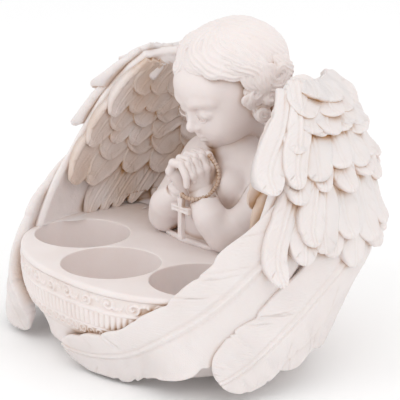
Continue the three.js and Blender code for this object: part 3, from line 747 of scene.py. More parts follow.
def makeWebs():
    print("wing walls")
    z = np.linspace(wing["low"], wing["top"], wing["rows"])[:, None]
    front = np.interp(z, *np.array(wing["frontEdge"]).T)
    back = np.interp(z, *np.array(wing["backEdge"]).T)
    t = np.linspace(0, 1, wing["columns"])[None, :]
    angle = mix(front, back, t)
    z = z + 0 * t
    deep = webDepth(angle, z)
    nearEdge = np.clip((angle - front) * mmPerDegree(z) / wing["edgeRound"], 0, 1)
    roundOff = 1 - np.sqrt(np.clip(1 - (1 - nearEdge) ** 2, 0, 1))
    outside = onShell(angle, z, -deep * 0.5 * roundOff)
    inside = onShell(angle, z, -deep * (1 - 0.5 * roundOff))
    rings = np.concatenate([outside, inside[:, ::-1]], axis=1)
    sheet = ringLump(rings)
    for side in ("left", "right"):
        path = np.array(wing["knob"]) + np.array(wing["knobAside"][side])
        size = wing["knobShare"][side]
        knob = tube(path, [size * r for r in wing["knobRadii"]], 36, 60)
        bars = []
        centre = curveThrough(path, np.linspace(0, 1, 9))
        for i in range(wing["strands"]):
            # strands that sweep over the knob and down on to the wing's back
            at = centre[min(7, 1 + i)]
            a = np.radians(np.linspace(-70, 130, 9))
            out = shellPoint(20.0 + 4 * i, 110.0) - at
            out[2] = 0
            out /= np.linalg.norm(out)
            reach = size * mix(4.2, 5.2, i / wing["strands"])
            up = np.array([0, 0, 1])
            arc = [at + reach * (up * math.cos(v - 0.9) - out * math.sin(v - 0.9)) for v in a[::-1]]
            bars.append(tube(arc, [0.5, 1.5, 1.6, 0.9], 10, 36))
        one = fused([sheet, knob] + bars, wing["voxel"])
        addPiece(side + "WingWeb", sided(one, side), "castResinFeather", [side + "_wing_web"])


# ---- bowl ----
# the foot's rows are (share of its size, height) and the lip's are (height, how far out of the wall)
bowl = {"inset": 1.2, "tuck": 11, "around": 360, "footHalfWidth": 44, "footHalfDepth": 48,
        "foot": [(0.95, 1.5), (0.985, 1.65), (1.0, 2.2), (1.0, 4.4), (0.992, 5.0)],
        "lip": [(38.0, 0.25), (38.6, 0.9), (39.2, 1.25), (39.9, 1.3), (40.5, 1.1), (40.85, 0.65)]}


def bowlWall(angle, z, outward):
    out = np.stack([np.cos(np.radians(angle)), np.sin(np.radians(angle)), 0 * angle], -1)
    fold = folded(np.mod(angle + 180, 360) - 180)
    underWing = smooth((fold + 66) / 16) * (1 - smooth((fold + 5) / 30))
    tuck = bowl["tuck"] * underWing * smooth((21 - z) / 18)
    return shellPoint(angle, z) + out * (np.asarray(outward) - bowl["inset"] - tuck)[..., None]


def makeBowl():
    print("bowl")
    angle = np.linspace(-180, 180, bowl["around"], endpoint=False)
    deck = float(wells["deck"])
    rings = []
    for share, z in bowl["foot"]:
        a = np.radians(angle)
        x = share * bowl["footHalfWidth"] * np.cos(a)
        rings.append(np.stack([x, share * bowl["footHalfDepth"] * np.sin(a), 0 * a + z], -1))
    profile = [(5.1, -1.6), (5.5, -0.6), (6.4, -0.05)]
    profile += [(z, 0.0) for z in np.arange(8, 37.4, 1.5)]
    # the lip is a soft roll under the deck's edge
    profile += bowl["lip"] + [(deck, 0.0), (deck, -1.5)]
    for z, outward in profile:
        rings.append(bowlWall(angle, np.full_like(angle, z), np.full_like(angle, outward)))
    rings = np.array(rings)
    one = ringLump(rings)
    one["tris"] = one["tris"][: bowl["around"]]  # the foot's fan stays, and the deck is one flat face
    body = objectFrom("bowl", one)
    work = bmesh.new()
    work.from_mesh(body.data)
    bmesh.ops.holes_fill(work, edges=[e for e in work.edges if e.is_boundary], sides=0)
    loose = [v for v in work.verts if not v.link_faces]
    bmesh.ops.delete(work, geom=loose, context="VERTS")
    bmesh.ops.recalc_face_normals(work, faces=work.faces)
    work.to_mesh(body.data)
    work.free()
    cutters = []
    r, lip, low = wells["radius"], wells["lipRound"], deck - wells["depth"]
    turns = np.linspace(0, math.pi / 2, 7)
    sides = [(r + lip - lip * math.sin(v), deck - lip + lip * math.cos(v)) for v in turns]
    f = wells["floorRound"]
    sides += [(r - f * (1 - math.cos(v)), low + f * (1 - math.sin(v))) for v in turns]
    sides = [(r + lip, deck + 1.2)] + sides
    for k, (x, y) in enumerate(wellCentres):
        a = np.linspace(0, 2 * math.pi, 96, endpoint=False)
        ring = np.array([[[x + q * math.cos(v), y + q * math.sin(v), z] for v in a] for q, z in sides])
        cutters.append(objectFrom("wellCutter" + str(k), ringLump(ring)))
    for cutter in cutters:
        cut = body.modifiers.new("well", "BOOLEAN")
        cut.operation = "DIFFERENCE"
        cut.solver = "EXACT"
        cut.object = cutter
    body.modifiers.new("flat faces keep their normals", "WEIGHTED_NORMAL").keep_sharp = True
    done = plainMesh(body)
    body.modifiers.clear()
    body.data = done
    for cutter in cutters:
        bpy.data.objects.remove(cutter)
    keepPiece(body, None, "castResinIvory", ["bowl"])


band = {"halfAngle": 47, "low": 17.0, "high": 38.2, "thickness": 1.1, "scrollPitch": 10.5, "pleatPitch": 2.5,
        "lacePitch": 4.6, "mmPerDegree": 1.13, "columns": 420, "rows": 88}


def bandRelief(x, z):
    # from the top: a scroll of leaves, a smooth rib, a row of pleats, a thin rib and a lace edge
    warp = softNoise(np.stack([x, z, 0 * x], -1), 5.0, 5)
    h = 0.28 + 0.12 * softNoise(np.stack([x, z, 0 * x], -1), 2.2, 6)
    # the scroll: a spiral in each cell, turned over in every other one, with a leaf beside it
    row = smooth((z - 32.8) / 0.6) * (1 - smooth((z - 37.7) / 0.5))
    cell = np.floor(x / band["scrollPitch"])
    sx = (x / band["scrollPitch"] - cell - 0.5) * band["scrollPitch"]
    flip = np.where(cell % 2 == 0, 1, -1)
    sz = (z - 35.3) * flip
    r = np.hypot(sx + 1.2, sz * 1.1 - 0.2)
    turn = np.arctan2(sz, sx + 1.2)
    scroll = bump((np.mod(turn / (2 * math.pi) - r / 2.3 + 0.5, 1) - 0.5) * 3.4)
    scroll = scroll * (1 - smooth((r - 2.5) / 0.9))
    leaf = bump((sz * 0.9 + 1.3 - 0.2 * (sx - 3) ** 2) / 0.75) * smooth((sx + 0.2) / 1.0)
    leaf = leaf * (0.75 + 0.25 * np.cos(sx * 4.2 + warp))
    h = h + row * (0.95 * np.maximum(scroll, leaf) - 0.1)
    h = h + 0.85 * bump((z - 31.9 + 0.25 * warp) / 0.85)
    # pleats
    pleatRow = smooth((z - 24.4) / 0.6) * (1 - smooth((z - 30.6) / 0.5))
    pleat = np.abs(np.cos(math.pi * (x + 0.2 * warp) / band["pleatPitch"])) ** 0.7
    h = h + pleatRow * (0.8 * pleat - 0.25)
    h = h + 0.5 * bump((z - 23.8) / 0.5)
    # lace: rings with a dot inside each and one below between them
    laceRow = 1 - smooth((z - 23.2) / 0.5)
    lx = np.mod(x, band["lacePitch"]) - band["lacePitch"] / 2
    loop = np.hypot(lx, z - 21.4)
    between = np.hypot(np.abs(lx) - band["lacePitch"] / 2, z - 19.2)
    scallop = bump((loop - 1.7) / 0.42) + 0.8 * bump(loop / 0.55) + 0.7 * bump(between / 0.6)
    h = h + laceRow * (0.75 * scallop - 0.15)
    return h * smooth((z - band["low"]) / 1.6)


def makeBand():
    print("carved band")
    angle = np.linspace(-90 - band["halfAngle"], -90 + band["halfAngle"], band["columns"])
    z = np.linspace(band["low"], band["high"], band["rows"])[:, None] + 0 * angle[None, :]
    angle = angle[None, :] + 0 * z
    x = (angle + 90) * band["mmPerDegree"]
    relief = bandRelief(x, z)
    ends = smooth((band["halfAngle"] - np.abs(angle + 90)) / 2.0)
    front = bowlWall(angle, z, 0.3 + band["thickness"] * 0.2 + relief * ends)
    back = bowlWall(angle[:, ::-1][:, ::14], z[:, ::14], np.full_like(z[:, ::14], -0.8))
    # the carving's low places are darker: partly the stain wash, partly painted shade in the recesses
    stain = np.clip(0.9 - 1.0 * relief, 0, 0.8)
    stain = np.hstack([stain, np.zeros(back.shape[:2])])
    addPiece("carvedBand", ringLump(np.concatenate([front, back], axis=1), None, stain), "castResinIvory",
             ["carved_band"])


def makeFelt():
    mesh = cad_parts["felt_base"]
    mesh.data.materials.clear()
    mesh.data.materials.append(materials["pressedFelt"])


# ---- the figure ----
head = {"radius": 23, "centre": (0, 29, 105), "pitch": 24, "turn": 10, "voxel": 0.42,
        "low": (-23, -28, -25), "high": (23, 25, 28)}
figure = {"voxel": 0.5, "low": (-36, -2, 40.6), "high": (36, 50, 92), "elbowSpread": 19, "seat": 41.25,
          "softness": 3.5, "seam": 0.12}


def onHead(points):
    # from the head's own upright place, in shares of its radius, to the object
    p = np.asarray(points, float) * head["radius"]
    a, b = math.radians(head["pitch"]), math.radians(-head["turn"])
    tip = np.array([[1, 0, 0], [0, math.cos(a), -math.sin(a)], [0, math.sin(a), math.cos(a)]])
    spin = np.array([[math.cos(b), -math.sin(b), 0], [math.sin(b), math.cos(b), 0], [0, 0, 1]])
    return p @ (spin @ tip).T + head["centre"]


def trunkField():
    clay = Clay(figure["low"], figure["high"], figure["voxel"])
    # belly, ribs and back
    clay.stroke([[0, 27, 41], [0, 28, 50]], [18, 18.5], 1)
    clay.ball([0, 23, 49], [17, 15, 13], 5)
    clay.ball([0, 28, 63], [19, 14, 13], 6)
    clay.ball([0, 31, 71], [18.5, 12.5, 9], 5)
    for s in (-1, 1):
        clay.ball([s * 9, 19.5, 66], [9, 6.5, 6.5], 5)
        clay.stroke([[s * 3, 28, 80], [s * 12, 31, 76.5], [s * 21, 33.5, 70.5]], [7.5, 7, 8.2], 5)
        clay.ball([s * 21, 33, 69], [9, 9.2, 9], 4)
        clay.ball([s * 11, 40, 66], [9, 5.5, 10], 5)
    clay.stroke([[0, 33, 76], [0, 30, 84], [0, 27.5, 91]], [9.5, 8.6, 8.8], 5)
    # collar bones, breast line, spine and navel
    for s in (-1, 1):
        clay.stroke([[s * 2.5, 21.5, 77.5], [s * 14, 25, 77]], [0.9, 0.7], 2.5)
    clay.stroke([[0, 12.6, 70], [0, 13.5, 58]], [0.6, 0.8], 2.6, cut=True)
    clay.stroke([[0, 46, 78], [0, 45.5, 62], [0, 45, 50]], [0.8, 1.1, 0.8], 3.5, cut=True)
    clay.ball([0, 8.4, 52], [1.1, 1.4, 1.1], 1.5, cut=True)
    clay.stroke([[-14, 11.5, 57.5], [0, 9.3, 56.3], [14, 11.5, 57.5]], [0.5, 0.6, 0.5], 2.2, cut=True)
    return clay


def armField(s):
    clay = Clay(figure["low"], figure["high"], figure["voxel"])
    elbow = [s * figure["elbowSpread"], 8.5, 48.6]
    upper = [[s * 22, 33, 69], [s * 26, 27, 60], [s * 22.5, 14, 52], elbow]
    clay.stroke(upper, [8.8, 8.9, 7.8, 6.6], 1, steps=12)
    fore = [elbow, [s * 15, 6, 54.5], [s * 8.5, 6.8, 60], [s * 5.2, 8.2, 64.5]]
    clay.stroke(fore, [6.9, 7.3, 6, 4.9], 2.5, steps=12)
    clay.ball([s * 25, 25, 61], [7.2, 8, 8], 3)
    # a crease at the elbow's bend and the chubby roll at the wrist
    crease = [[s * 11.5, 14.5, 54.5], [s * 18, 15.2, 56.5], [s * 24, 14, 58]]
    clay.stroke(crease, [0.8, 0.7, 0.5], 1.8, cut=True)
    ring = [[s * 6.8 + 5.6 * math.cos(v), 7.4 + 5.6 * math.sin(v), 61.5 + 2.2 * math.cos(v) * s]
            for v in np.linspace(0, 2 * math.pi, 15)]
    clay.stroke(ring, [0.55] * 15, 1.1, cut=True)
    return clay


def makeBody():
    print("torso and arms")
    # the arms flow into the chest, and are then parted from it where the two fields are equal
    trunk = trunkField().field
    arms = {"left": armField(1).field, "right": armField(-1).field}
    arm = np.minimum(arms["left"], arms["right"])
    whole = Clay(figure["low"], figure["high"], figure["voxel"])
    k = figure["softness"]
    h = np.clip(0.5 + 0.5 * (arm - trunk) / k, 0, 1)
    body = mix(arm, trunk, h) - k * h * (1 - h)
    height = (whole.low[2] + np.arange(whole.size[2]) * whole.voxel)[None, None, :]
    body = np.maximum(body, figure["seat"] - height)
    x = (whole.low[0] + np.arange(whole.size[0]) * whole.voxel)[:, None, None]
    chest = np.maximum(body, trunk - arm - figure["seam"])
    addPiece("torso", whole.skin(chest.astype(np.float32), 2), "castResinSkin", ["torso"])
    for side, s in (("left", 1), ("right", -1)):
        own = np.maximum(np.maximum(body, arms[side] - trunk - figure["seam"]), -s * x)
        addPiece(side + "Arm", whole.skin(own.astype(np.float32), 2), "castResinSkin", [side + "_arm"])


# drop is how far the clasped hands are let down from the height that the shapes are given at
hands = {"voxel": 0.34, "low": (-9.5, -4, 62.5), "high": (9.5, 20, 87), "drop": 3.5, "fingerPitch": 3.75,
         "firstFinger": 12.6, "fingerTop": 82.6, "stagger": 0.95}


def makeHands():
    print("hands")
    for side, s in (("left", 1), ("right", -1)):
        clay = Clay(hands["low"], hands["high"], hands["voxel"])
        # heel, palm and the knuckle row, with the fingers folded over between the other hand's
        clay.stroke([[s * 4.6, 8.6, 65.5], [s * 4.4, 8.2, 69]], [4.8, 4.8], 1)
        clay.ball([s * 4.2, 8.0, 73.2], [3.6, 7.4, 6.4], 3)
        clay.ball([s * 3.6, 13.0, 71.5], [3.0, 3.4, 5.0], 2)
        for i in range(4):
            y = hands["firstFinger"] - hands["fingerPitch"] * i + hands["stagger"] * s
            top = hands["fingerTop"] - 0.35 * i - 0.175 * i * i
            knuckle = [s * 5.9, y + 0.3, top - 4.6]
            bend = [s * 3.5, y - 0.2, top - 0.4]
            over = [s * -2.1, y - 0.6, top + 0.1]
            tip = [s * -6.0, y - 0.9, top - 4.6]
            end = [s * -6.5, y - 1.0, top - 8.0]
            clay.stroke([[s * 5.4, y * 0.85 + 1.6, 73.5], knuckle], [1.9, 1.95], 1.6)
            clay.stroke([knuckle, bend], [1.95, 1.8], 0.5)
            clay.stroke([bend, over], [1.8, 1.65], 0.5)
            clay.stroke([over, tip, end], [1.65, 1.55, 1.35], 0.5, steps=6)
            clay.ball(knuckle, 2.1, 0.5)
            # the line between one finger and the next
            between = [[s * 5.6, y - 1.9, top - 6], [s * 4.6, y - 1.9, top - 1.5]]
            clay.stroke(between, [0.3, 0.3], 0.7, cut=True)
        # thumb, laid along the top near the chin
        thumb = [[s * 4.2, 13.5, 72.5], [s * 3.2, 16.0, 77.0], [s * 1.3, 15.6, 81.4]]
        clay.stroke(thumb, [2.4, 2.1, 1.7], 1.0, steps=8)
        one = clay.skin()
        one["points"][:, 2] -= hands["drop"]
        addPiece(side + "Hand", one, "castResinSkin", [side + "_hand"])


def makeHead():
    print("head")
    # a child's face of plain proportions: round brow, eyes half way down, small nose and a calm shut mouth
    r = head["radius"]
    clay = Clay(head["low"], head["high"], head["voxel"])

    def at(*shares):
        return np.array(shares) * r

    # skull, jaw, chin and brow
    clay.ball(at(0, 0.02, 0.13), at(0.87, 0.96, 0.96), 1)
    clay.ball(at(0, -0.32, -0.22), at(0.72, 0.62, 0.62), 4)
    clay.ball(at(0, -0.4, -0.5), at(0.52, 0.48, 0.4), 5)
    clay.ball(at(0, -0.7, -0.72), at(0.2, 0.17, 0.15), 4)
    clay.ball(at(0, -0.62, 0.36), at(0.6, 0.34, 0.4), 5)
    # cheeks and the hollows for the eyes
    for s in (-1, 1):
        clay.ball(at(s * 0.36, -0.6, -0.38), at(0.26, 0.26, 0.25), 5)
        clay.ball(at(s * 0.34, -0.96, 0.0), at(0.2, 0.13, 0.13), 3, cut=True)
    # nose
    clay.stroke([at(0, -0.86, 0.08), at(0, -0.95, -0.1), at(0, -1.03, -0.24)], [1.5, 1.6, 2.0], 2.4, steps=6)
    clay.ball(at(0, -1.02, -0.27), at(0.1, 0.1, 0.09), 1.4)
    for s in (-1, 1):
        clay.ball(at(s * 0.1, -0.95, -0.29), at(0.07, 0.08, 0.06), 1.2)
        clay.ball(at(s * 0.055, -1.01, -0.36), at(0.03, 0.04, 0.03), 0.5, cut=True)
    # mouth: a soft bow above and a full lip below, with the line between
    bow = [at(-0.17, -0.84, -0.53), at(-0.07, -0.93, -0.49), at(0, -0.935, -0.505), at(0.07, -0.93, -0.49),
           at(0.17, -0.84, -0.53)]
    clay.stroke(bow, [0.5, 0.95, 0.8, 0.95, 0.5], 1.0, steps=14)
    lip = [at(-0.13, -0.86, -0.57), at(0, -0.93, -0.59), at(0.13, -0.86, -0.57)]
    clay.stroke(lip, [0.6, 1.25, 0.6], 1.0, steps=10)
    between = [at(-0.18, -0.87, -0.535), at(-0.07, -0.97, -0.54), at(0, -0.985, -0.55),
               at(0.07, -0.97, -0.54), at(0.18, -0.87, -0.535)]
    clay.stroke(between, [0.3, 0.42, 0.42, 0.42, 0.3], 0.5, cut=True, steps=14)
    # the dent under the nose and the one under the lip
    clay.stroke([at(0, -1.0, -0.4), at(0, -0.98, -0.46)], [0.35, 0.5], 1.4, cut=True)
    dent = [at(-0.1, -0.92, -0.68), at(0, -0.95, -0.68), at(0.1, -0.92, -0.68)]
    clay.stroke(dent, [0.5, 0.8, 0.5], 2.2, cut=True)
    for s in (-1, 1):
        # closed lids over the eye, with the lash line low on the ball
        clay.ball(at(s * 0.33, -0.79, -0.01), at(0.185, 0.14, 0.145), 1.2)
        lid = [at(s * (0.33 + 0.17 * math.cos(v)), -0.905 + 0.035 * math.sin(v), -0.045 + 0.075 * math.sin(v))
               for v in np.linspace(math.pi, 2 * math.pi, 7)]
        clay.stroke([p + [0, -0.3, -0.25] for p in lid], [0.4] * 7, 0.6, steps=14)
        clay.stroke([p + [0, -0.6, -0.75] for p in lid], [0.32] * 7, 0.4, cut=True, steps=14)
        crease = [p + [0, 0.3, 0] for p in
                  (at(s * 0.17, -0.9, 0.05), at(s * 0.33, -0.92, 0.125), at(s * 0.5, -0.83, 0.05))]
        clay.stroke(crease, [0.3, 0.36, 0.3], 0.7, cut=True, steps=12)
        brow = [at(s * 0.13, -0.93, 0.17), at(s * 0.33, -0.9, 0.245), at(s * 0.56, -0.73, 0.2)]
        clay.stroke(brow, [0.7, 1.0, 0.6], 3.0, steps=12)
        # ear
        ear = at(s * 0.86, -0.02, -0.12)
        clay.ball(ear, (2.2, 3.8, 5.6), 1.2)
        rim = [ear + [s * 1.6, 3.6 * math.cos(v), 5.2 * math.sin(v) - 0.2]
               for v in np.linspace(-1.3, 3.6, 12)]
        clay.stroke(rim, [0.9] * 12, 0.6)
        clay.ball(ear + [s * 2.0, -0.6, 0.4], (1.3, 2.0, 3.0), 0.9, cut=True)
    # neck
    clay.stroke([at(0, 0.12, -0.5), at(0, 0.0, -0.85)], [9.5, 8.8], 5)
    one = clay.skin(rounds=2)
    one["points"] = onHead(one["points"] / r)
    addPiece("head", one, "castResinSkin", ["head"])


scalp = {"centre": np.array([0, 0.13, 0.28]), "radii": np.array([0.97, 1.0, 0.86])}


def hairline(azimuth):
    # how far down the hair comes, as an angle from the top: azimuth -90 is the brow and 90 the nape
    away = abs((azimuth + 90 + 180) % 360 - 180)
    return float(np.interp(away, [0, 35, 60, 85, 120, 180], [57, 60, 70, 92, 116, 128]))


def onScalp(azimuth, down, lift):
    a, d = np.radians(azimuth), np.radians(down)
    out = np.stack([np.sin(d) * np.cos(a), np.sin(d) * np.sin(a), np.cos(d)], -1)
    normal = unit(out / scalp["radii"])
    raised = normal * np.asarray(lift)[..., None] / head["radius"]
    return scalp["centre"] + out * scalp["radii"] + raised, normal


def lock(azimuth, start, end, sweep, width, seed, curl=1.0, thick=1.5, lift=0.5, waves=1.0):
    # one lock of hair: it runs down the scalp in a wave and its end rolls up; made of a few fat strands
    rng = np.random.default_rng(seed)
    steps = 46
    t = np.linspace(0, 1, steps)
    wave = waves * rng.uniform(3, 7) * np.sin(t * rng.uniform(4.5, 6.5) + rng.uniform(0, 6)) * t
    down = mix(start, end, t)
    around = azimuth + sweep * t**1.3 + wave / np.maximum(np.sin(np.radians(down)), 0.3)
    path, normal = onScalp(around, down, lift + 0.7 * np.sin(math.pi * t) + rng.uniform(0, 0.4))
    path = path * head["radius"]
    if curl:
        # the end turns in a spiral on the surface and stands up from it
        ahead = unit(path[-1] - path[-2])
        up = normal[-1]
        side = np.cross(up, ahead) * (1 if sweep >= 0 else -1)
        size = rng.uniform(2.6, 3.4) * curl
        turn = np.linspace(0, math.pi * rng.uniform(1.1, 1.7), 24)
        radius = size * (1 - 0.6 * turn / turn[-1])
        centre = path[-1] + side * size
        spiral = centre - side * (radius * np.cos(turn))[:, None] + ahead * (radius * np.sin(turn))[:, None]
        spiral = spiral + up * (0.8 * curl * (turn / turn[-1]))[:, None]
        path = np.vstack([path, spiral[1:]])
        normal = np.vstack([normal, np.repeat(up[None, :], len(spiral) - 1, 0)])
    t = np.linspace(0, 1, len(path))
    ahead = unit(np.gradient(path, axis=0))
    side = np.cross(normal, ahead)
    side /= np.maximum(np.linalg.norm(side, axis=1, keepdims=True), 1e-6)
    a = np.linspace(0, 2 * math.pi, 40, endpoint=False)
    taper = np.interp(t, [0, 0.12, 0.5, 0.85, 1], [0.45, 0.9, 1.0, 0.72, 0.16])
    strands = 1 + 0.19 * np.cos(11 * a)[None, :] * smooth(t / 0.1)[:, None]
    ring = path[:, None] + side[:, None] * (0.5 * width * taper[:, None] * strands * np.cos(a))[..., None]
    ring = ring + normal[:, None] * (thick * taper[:, None] * strands * np.sin(a))[..., None]
    out = ringLump(ring)
    out["points"] = onHead(out["points"] / head["radius"])
    return out


# rings of locks from the crown outwards: (how many, where they start, how far they reach, width)
# the bigger waves over the brow and the temples: (azimuth, start, end, sweep, width)
hair = {
    "voxel": 0.42, "seed": 7, "capColumns": 96, "capLift": 0.5, "capEdge": -0.6, "capInside": -3.2,
    "rings": [(11, 0, 0.72, 11.5), (13, 24, 0.92, 10.5), (13, 40, 1.03, 9.5)],
    "brow": [(-148, 20, 74, -14, 8), (-124, 12, 60, -16, 8), (-100, 10, 54, -14, 8), (-76, 8, 56, 20, 9),
             (-56, 10, 66, 26, 9.5), (-34, 20, 80, 20, 9), (-14, 30, 92, 16, 8.5)],
}


def makeHair():
    print("hair")
    rng = np.random.default_rng(hair["seed"])
    turns = np.degrees(np.linspace(0, 2 * math.pi, hair["capColumns"], endpoint=False))
    edge = np.array([hairline(v) for v in turns])
    # the cap goes down the outside to a turned-in edge and back up the inside
    rows = [(share, hair["capLift"] if share < 0.97 else hair["capEdge"])
            for share in np.linspace(0.02, 1, 50)]
    rows += [(share, hair["capInside"]) for share in np.linspace(1, 0.02, 16)]
    rings = [onScalp(turns, share * edge, np.full(len(turns), lift))[0] for share, lift in rows]
    cap = ringLump(np.array(rings))
    cap["points"] = onHead(cap["points"])
    locks = [cap]
    for ring, (count, start, reach, width) in enumerate(hair["rings"]):
        for i in range(count):
            azimuth = 360 * (i + rng.uniform(-0.2, 0.2) + 0.5 * (ring % 2)) / count
            edge = hairline((azimuth + 180) % 360 - 180)
            end = reach * edge * rng.uniform(0.92, 1.0)
            locks.append(lock(azimuth, min(start, end - 24), end, rng.uniform(16, 30), width, 100 * ring + i,
                              curl=0.0, thick=1.35, lift=0.0, waves=0.9))
    for i, (azimuth, start, end, sweep, width) in enumerate(hair["brow"]):
        locks.append(lock(azimuth, start, end, sweep, width, 400 + i,
                          curl=0.9, thick=2.1, lift=0.6, waves=1.9))
    one = fused(locks, hair["voxel"])
    addPiece("hair", one, "castResinIvory", ["hair"])


# locks are (azimuth, start, end, sweep, width, curl)
# ringlets are (x, y, z, radius) in shares of the head's radius
curls = {
    "voxel": 0.38,
    "locks": [(-34, 44, 66, 24, 7.5, 1.2), (-22, 52, 88, 30, 7.5, 1.3), (-6, 60, 104, 26, 7.5, 1.3),
              (10, 64, 112, -20, 7, 1.2), (-2, 78, 108, -10, 6.5, 1.0), (26, 74, 118, 22, 7, 1.25),
              (40, 80, 122, -20, 7, 1.1), (2, 96, 120, 24, 6.5, 1.0)],
    "ringlets": [(0.97, -0.1, 0.12, 0.19), (0.99, 0.14, -0.1, 0.2), (0.94, -0.06, -0.3, 0.19),
                 (0.9, 0.32, -0.34, 0.2), (0.8, 0.1, -0.56, 0.18), (0.66, 0.5, -0.56, 0.2)],
}


def makeCurls():
    print("curls")
    # waves that come down over the ear and nape and roll up at the ends, round a few full ringlets
    for side, s in (("left", 1), ("right", -1)):
        coils = []
        for n, (azimuth, start, end, sweep, width, curl) in enumerate(curls["locks"]):
            turned = azimuth if s > 0 else 180 - azimuth
            coils.append(lock(turned, start, end, s * sweep, width, n + (640 if s > 0 else 680),
                              curl=curl, thick=2.0, lift=0.9, waves=1.6))
        for n, (x, y, z, r) in enumerate(curls["ringlets"]):
            rng = np.random.default_rng(60 + n + (s > 0) * 20)
            centre = np.array([s * x, y, z]) * head["radius"]
            size = r * head["radius"]
            out = unit(np.array([s * 0.85, y * 0.8, 0.1]))
            ahead = unit(np.cross(out, [0, 0.2, 1.0]))
            up = np.cross(out, ahead)
            turn = np.linspace(0, math.pi * rng.uniform(2.2, 3.2), 60)
            share = turn / turn[-1]
            radius = size * mix(0.6, 0.15, share)
            spin = turn * (1 if n % 2 else -1) + rng.uniform(0, 6)
            path = centre + ahead * (radius * np.cos(spin))[:, None] + up * (radius * np.sin(spin))[:, None]
            path = path + out * (mix(-0.3, 0.5, share) * size)[:, None]
            bar = tube(path[::6], [1.3, 2.1, 2.0, 1.6, 0.9], 44, 90, ridges=9, ridge=0.16, twist=3.0)
            core = tube([centre - out * size * 0.9, centre, centre + out * size * 0.2],
                        [size * 0.7, size * 0.72, size * 0.3], 20, 14)
            one = gather([bar, core])
            one["points"] = onHead(one["points"] / head["radius"])
            coils.append(one)
        one = fused(coils, curls["voxel"])
        addPiece(side + "Curls", one, "castResinIvory", [side + "_curls"])


drape = {"low": 40.8, "halfWidth": 27, "halfDepth": 21, "centre": (0, 25), "voxel": 0.5, "seed": 5,
         "folds": 7}


def makeDrape():
    print("waist cloth")
    clay = Clay((-33, -2, 40.4), (33, 50, 54), drape["voxel"])
    cx, cy = drape["centre"]
    rng = np.random.default_rng(drape["seed"])

    def ringPath(share, v, z):
        x = cx + drape["halfWidth"] * share * np.cos(v)
        return np.stack([x, cy + drape["halfDepth"] * share * np.sin(v), z], -1)

    # soft folds that wind round the waist and run out on the deck
    for k in range(drape["folds"]):
        begin = rng.uniform(-200, 160)
        span = rng.uniform(80, 150)
        share = rng.uniform(0.86, 0.98)
        v = np.radians(np.linspace(begin, begin + span, 12))
        rise = rng.uniform(41.8, 43.4) + rng.uniform(-0.8, 0.8) * np.linspace(-1, 1, 12)
        path = ringPath(share + 0.04 * np.sin(3 * v + k), v, rise)
        thick = rng.uniform(1.2, 1.9)
        clay.stroke(path, list(thick * np.sin(np.linspace(0.25, 2.9, 12))), 2.4)
    clay.ball([cx, cy, 40.9], [25.5, 19.5, 4.4], 2.0)
    hem = np.radians(np.linspace(0, 360, 73))
    out = 0.97 + 0.03 * np.sin(5 * hem) + 0.02 * np.sin(11 * hem + 1)
    clay.stroke(ringPath(out, hem, 42.0 + 0 * hem), [1.25] * 73, 1.2)
    height = (clay.low[2] + np.arange(clay.size[2]) * clay.voxel)[None, None, :]
    clay.field = np.maximum(clay.field, drape["low"] - height).astype(np.float32)
    addPiece("waistDrape", clay.skin(), "castResinIvory", ["waist_drape"])


# ---- rosary and cross ----
rosary = {"beads": 23, "beadRadius": 0.9, "cordRadius": 0.36,
          "loop": [[5.5, 12.5, 79], [9.2, 13.6, 74.5], [10.6, 13, 69.5], [11.2, 10, 66],
                   [11.4, 5.4, 64], [9.8, 0.8, 63.2], [7, -0.9, 63.5], [4, -1.2, 64.4]]}


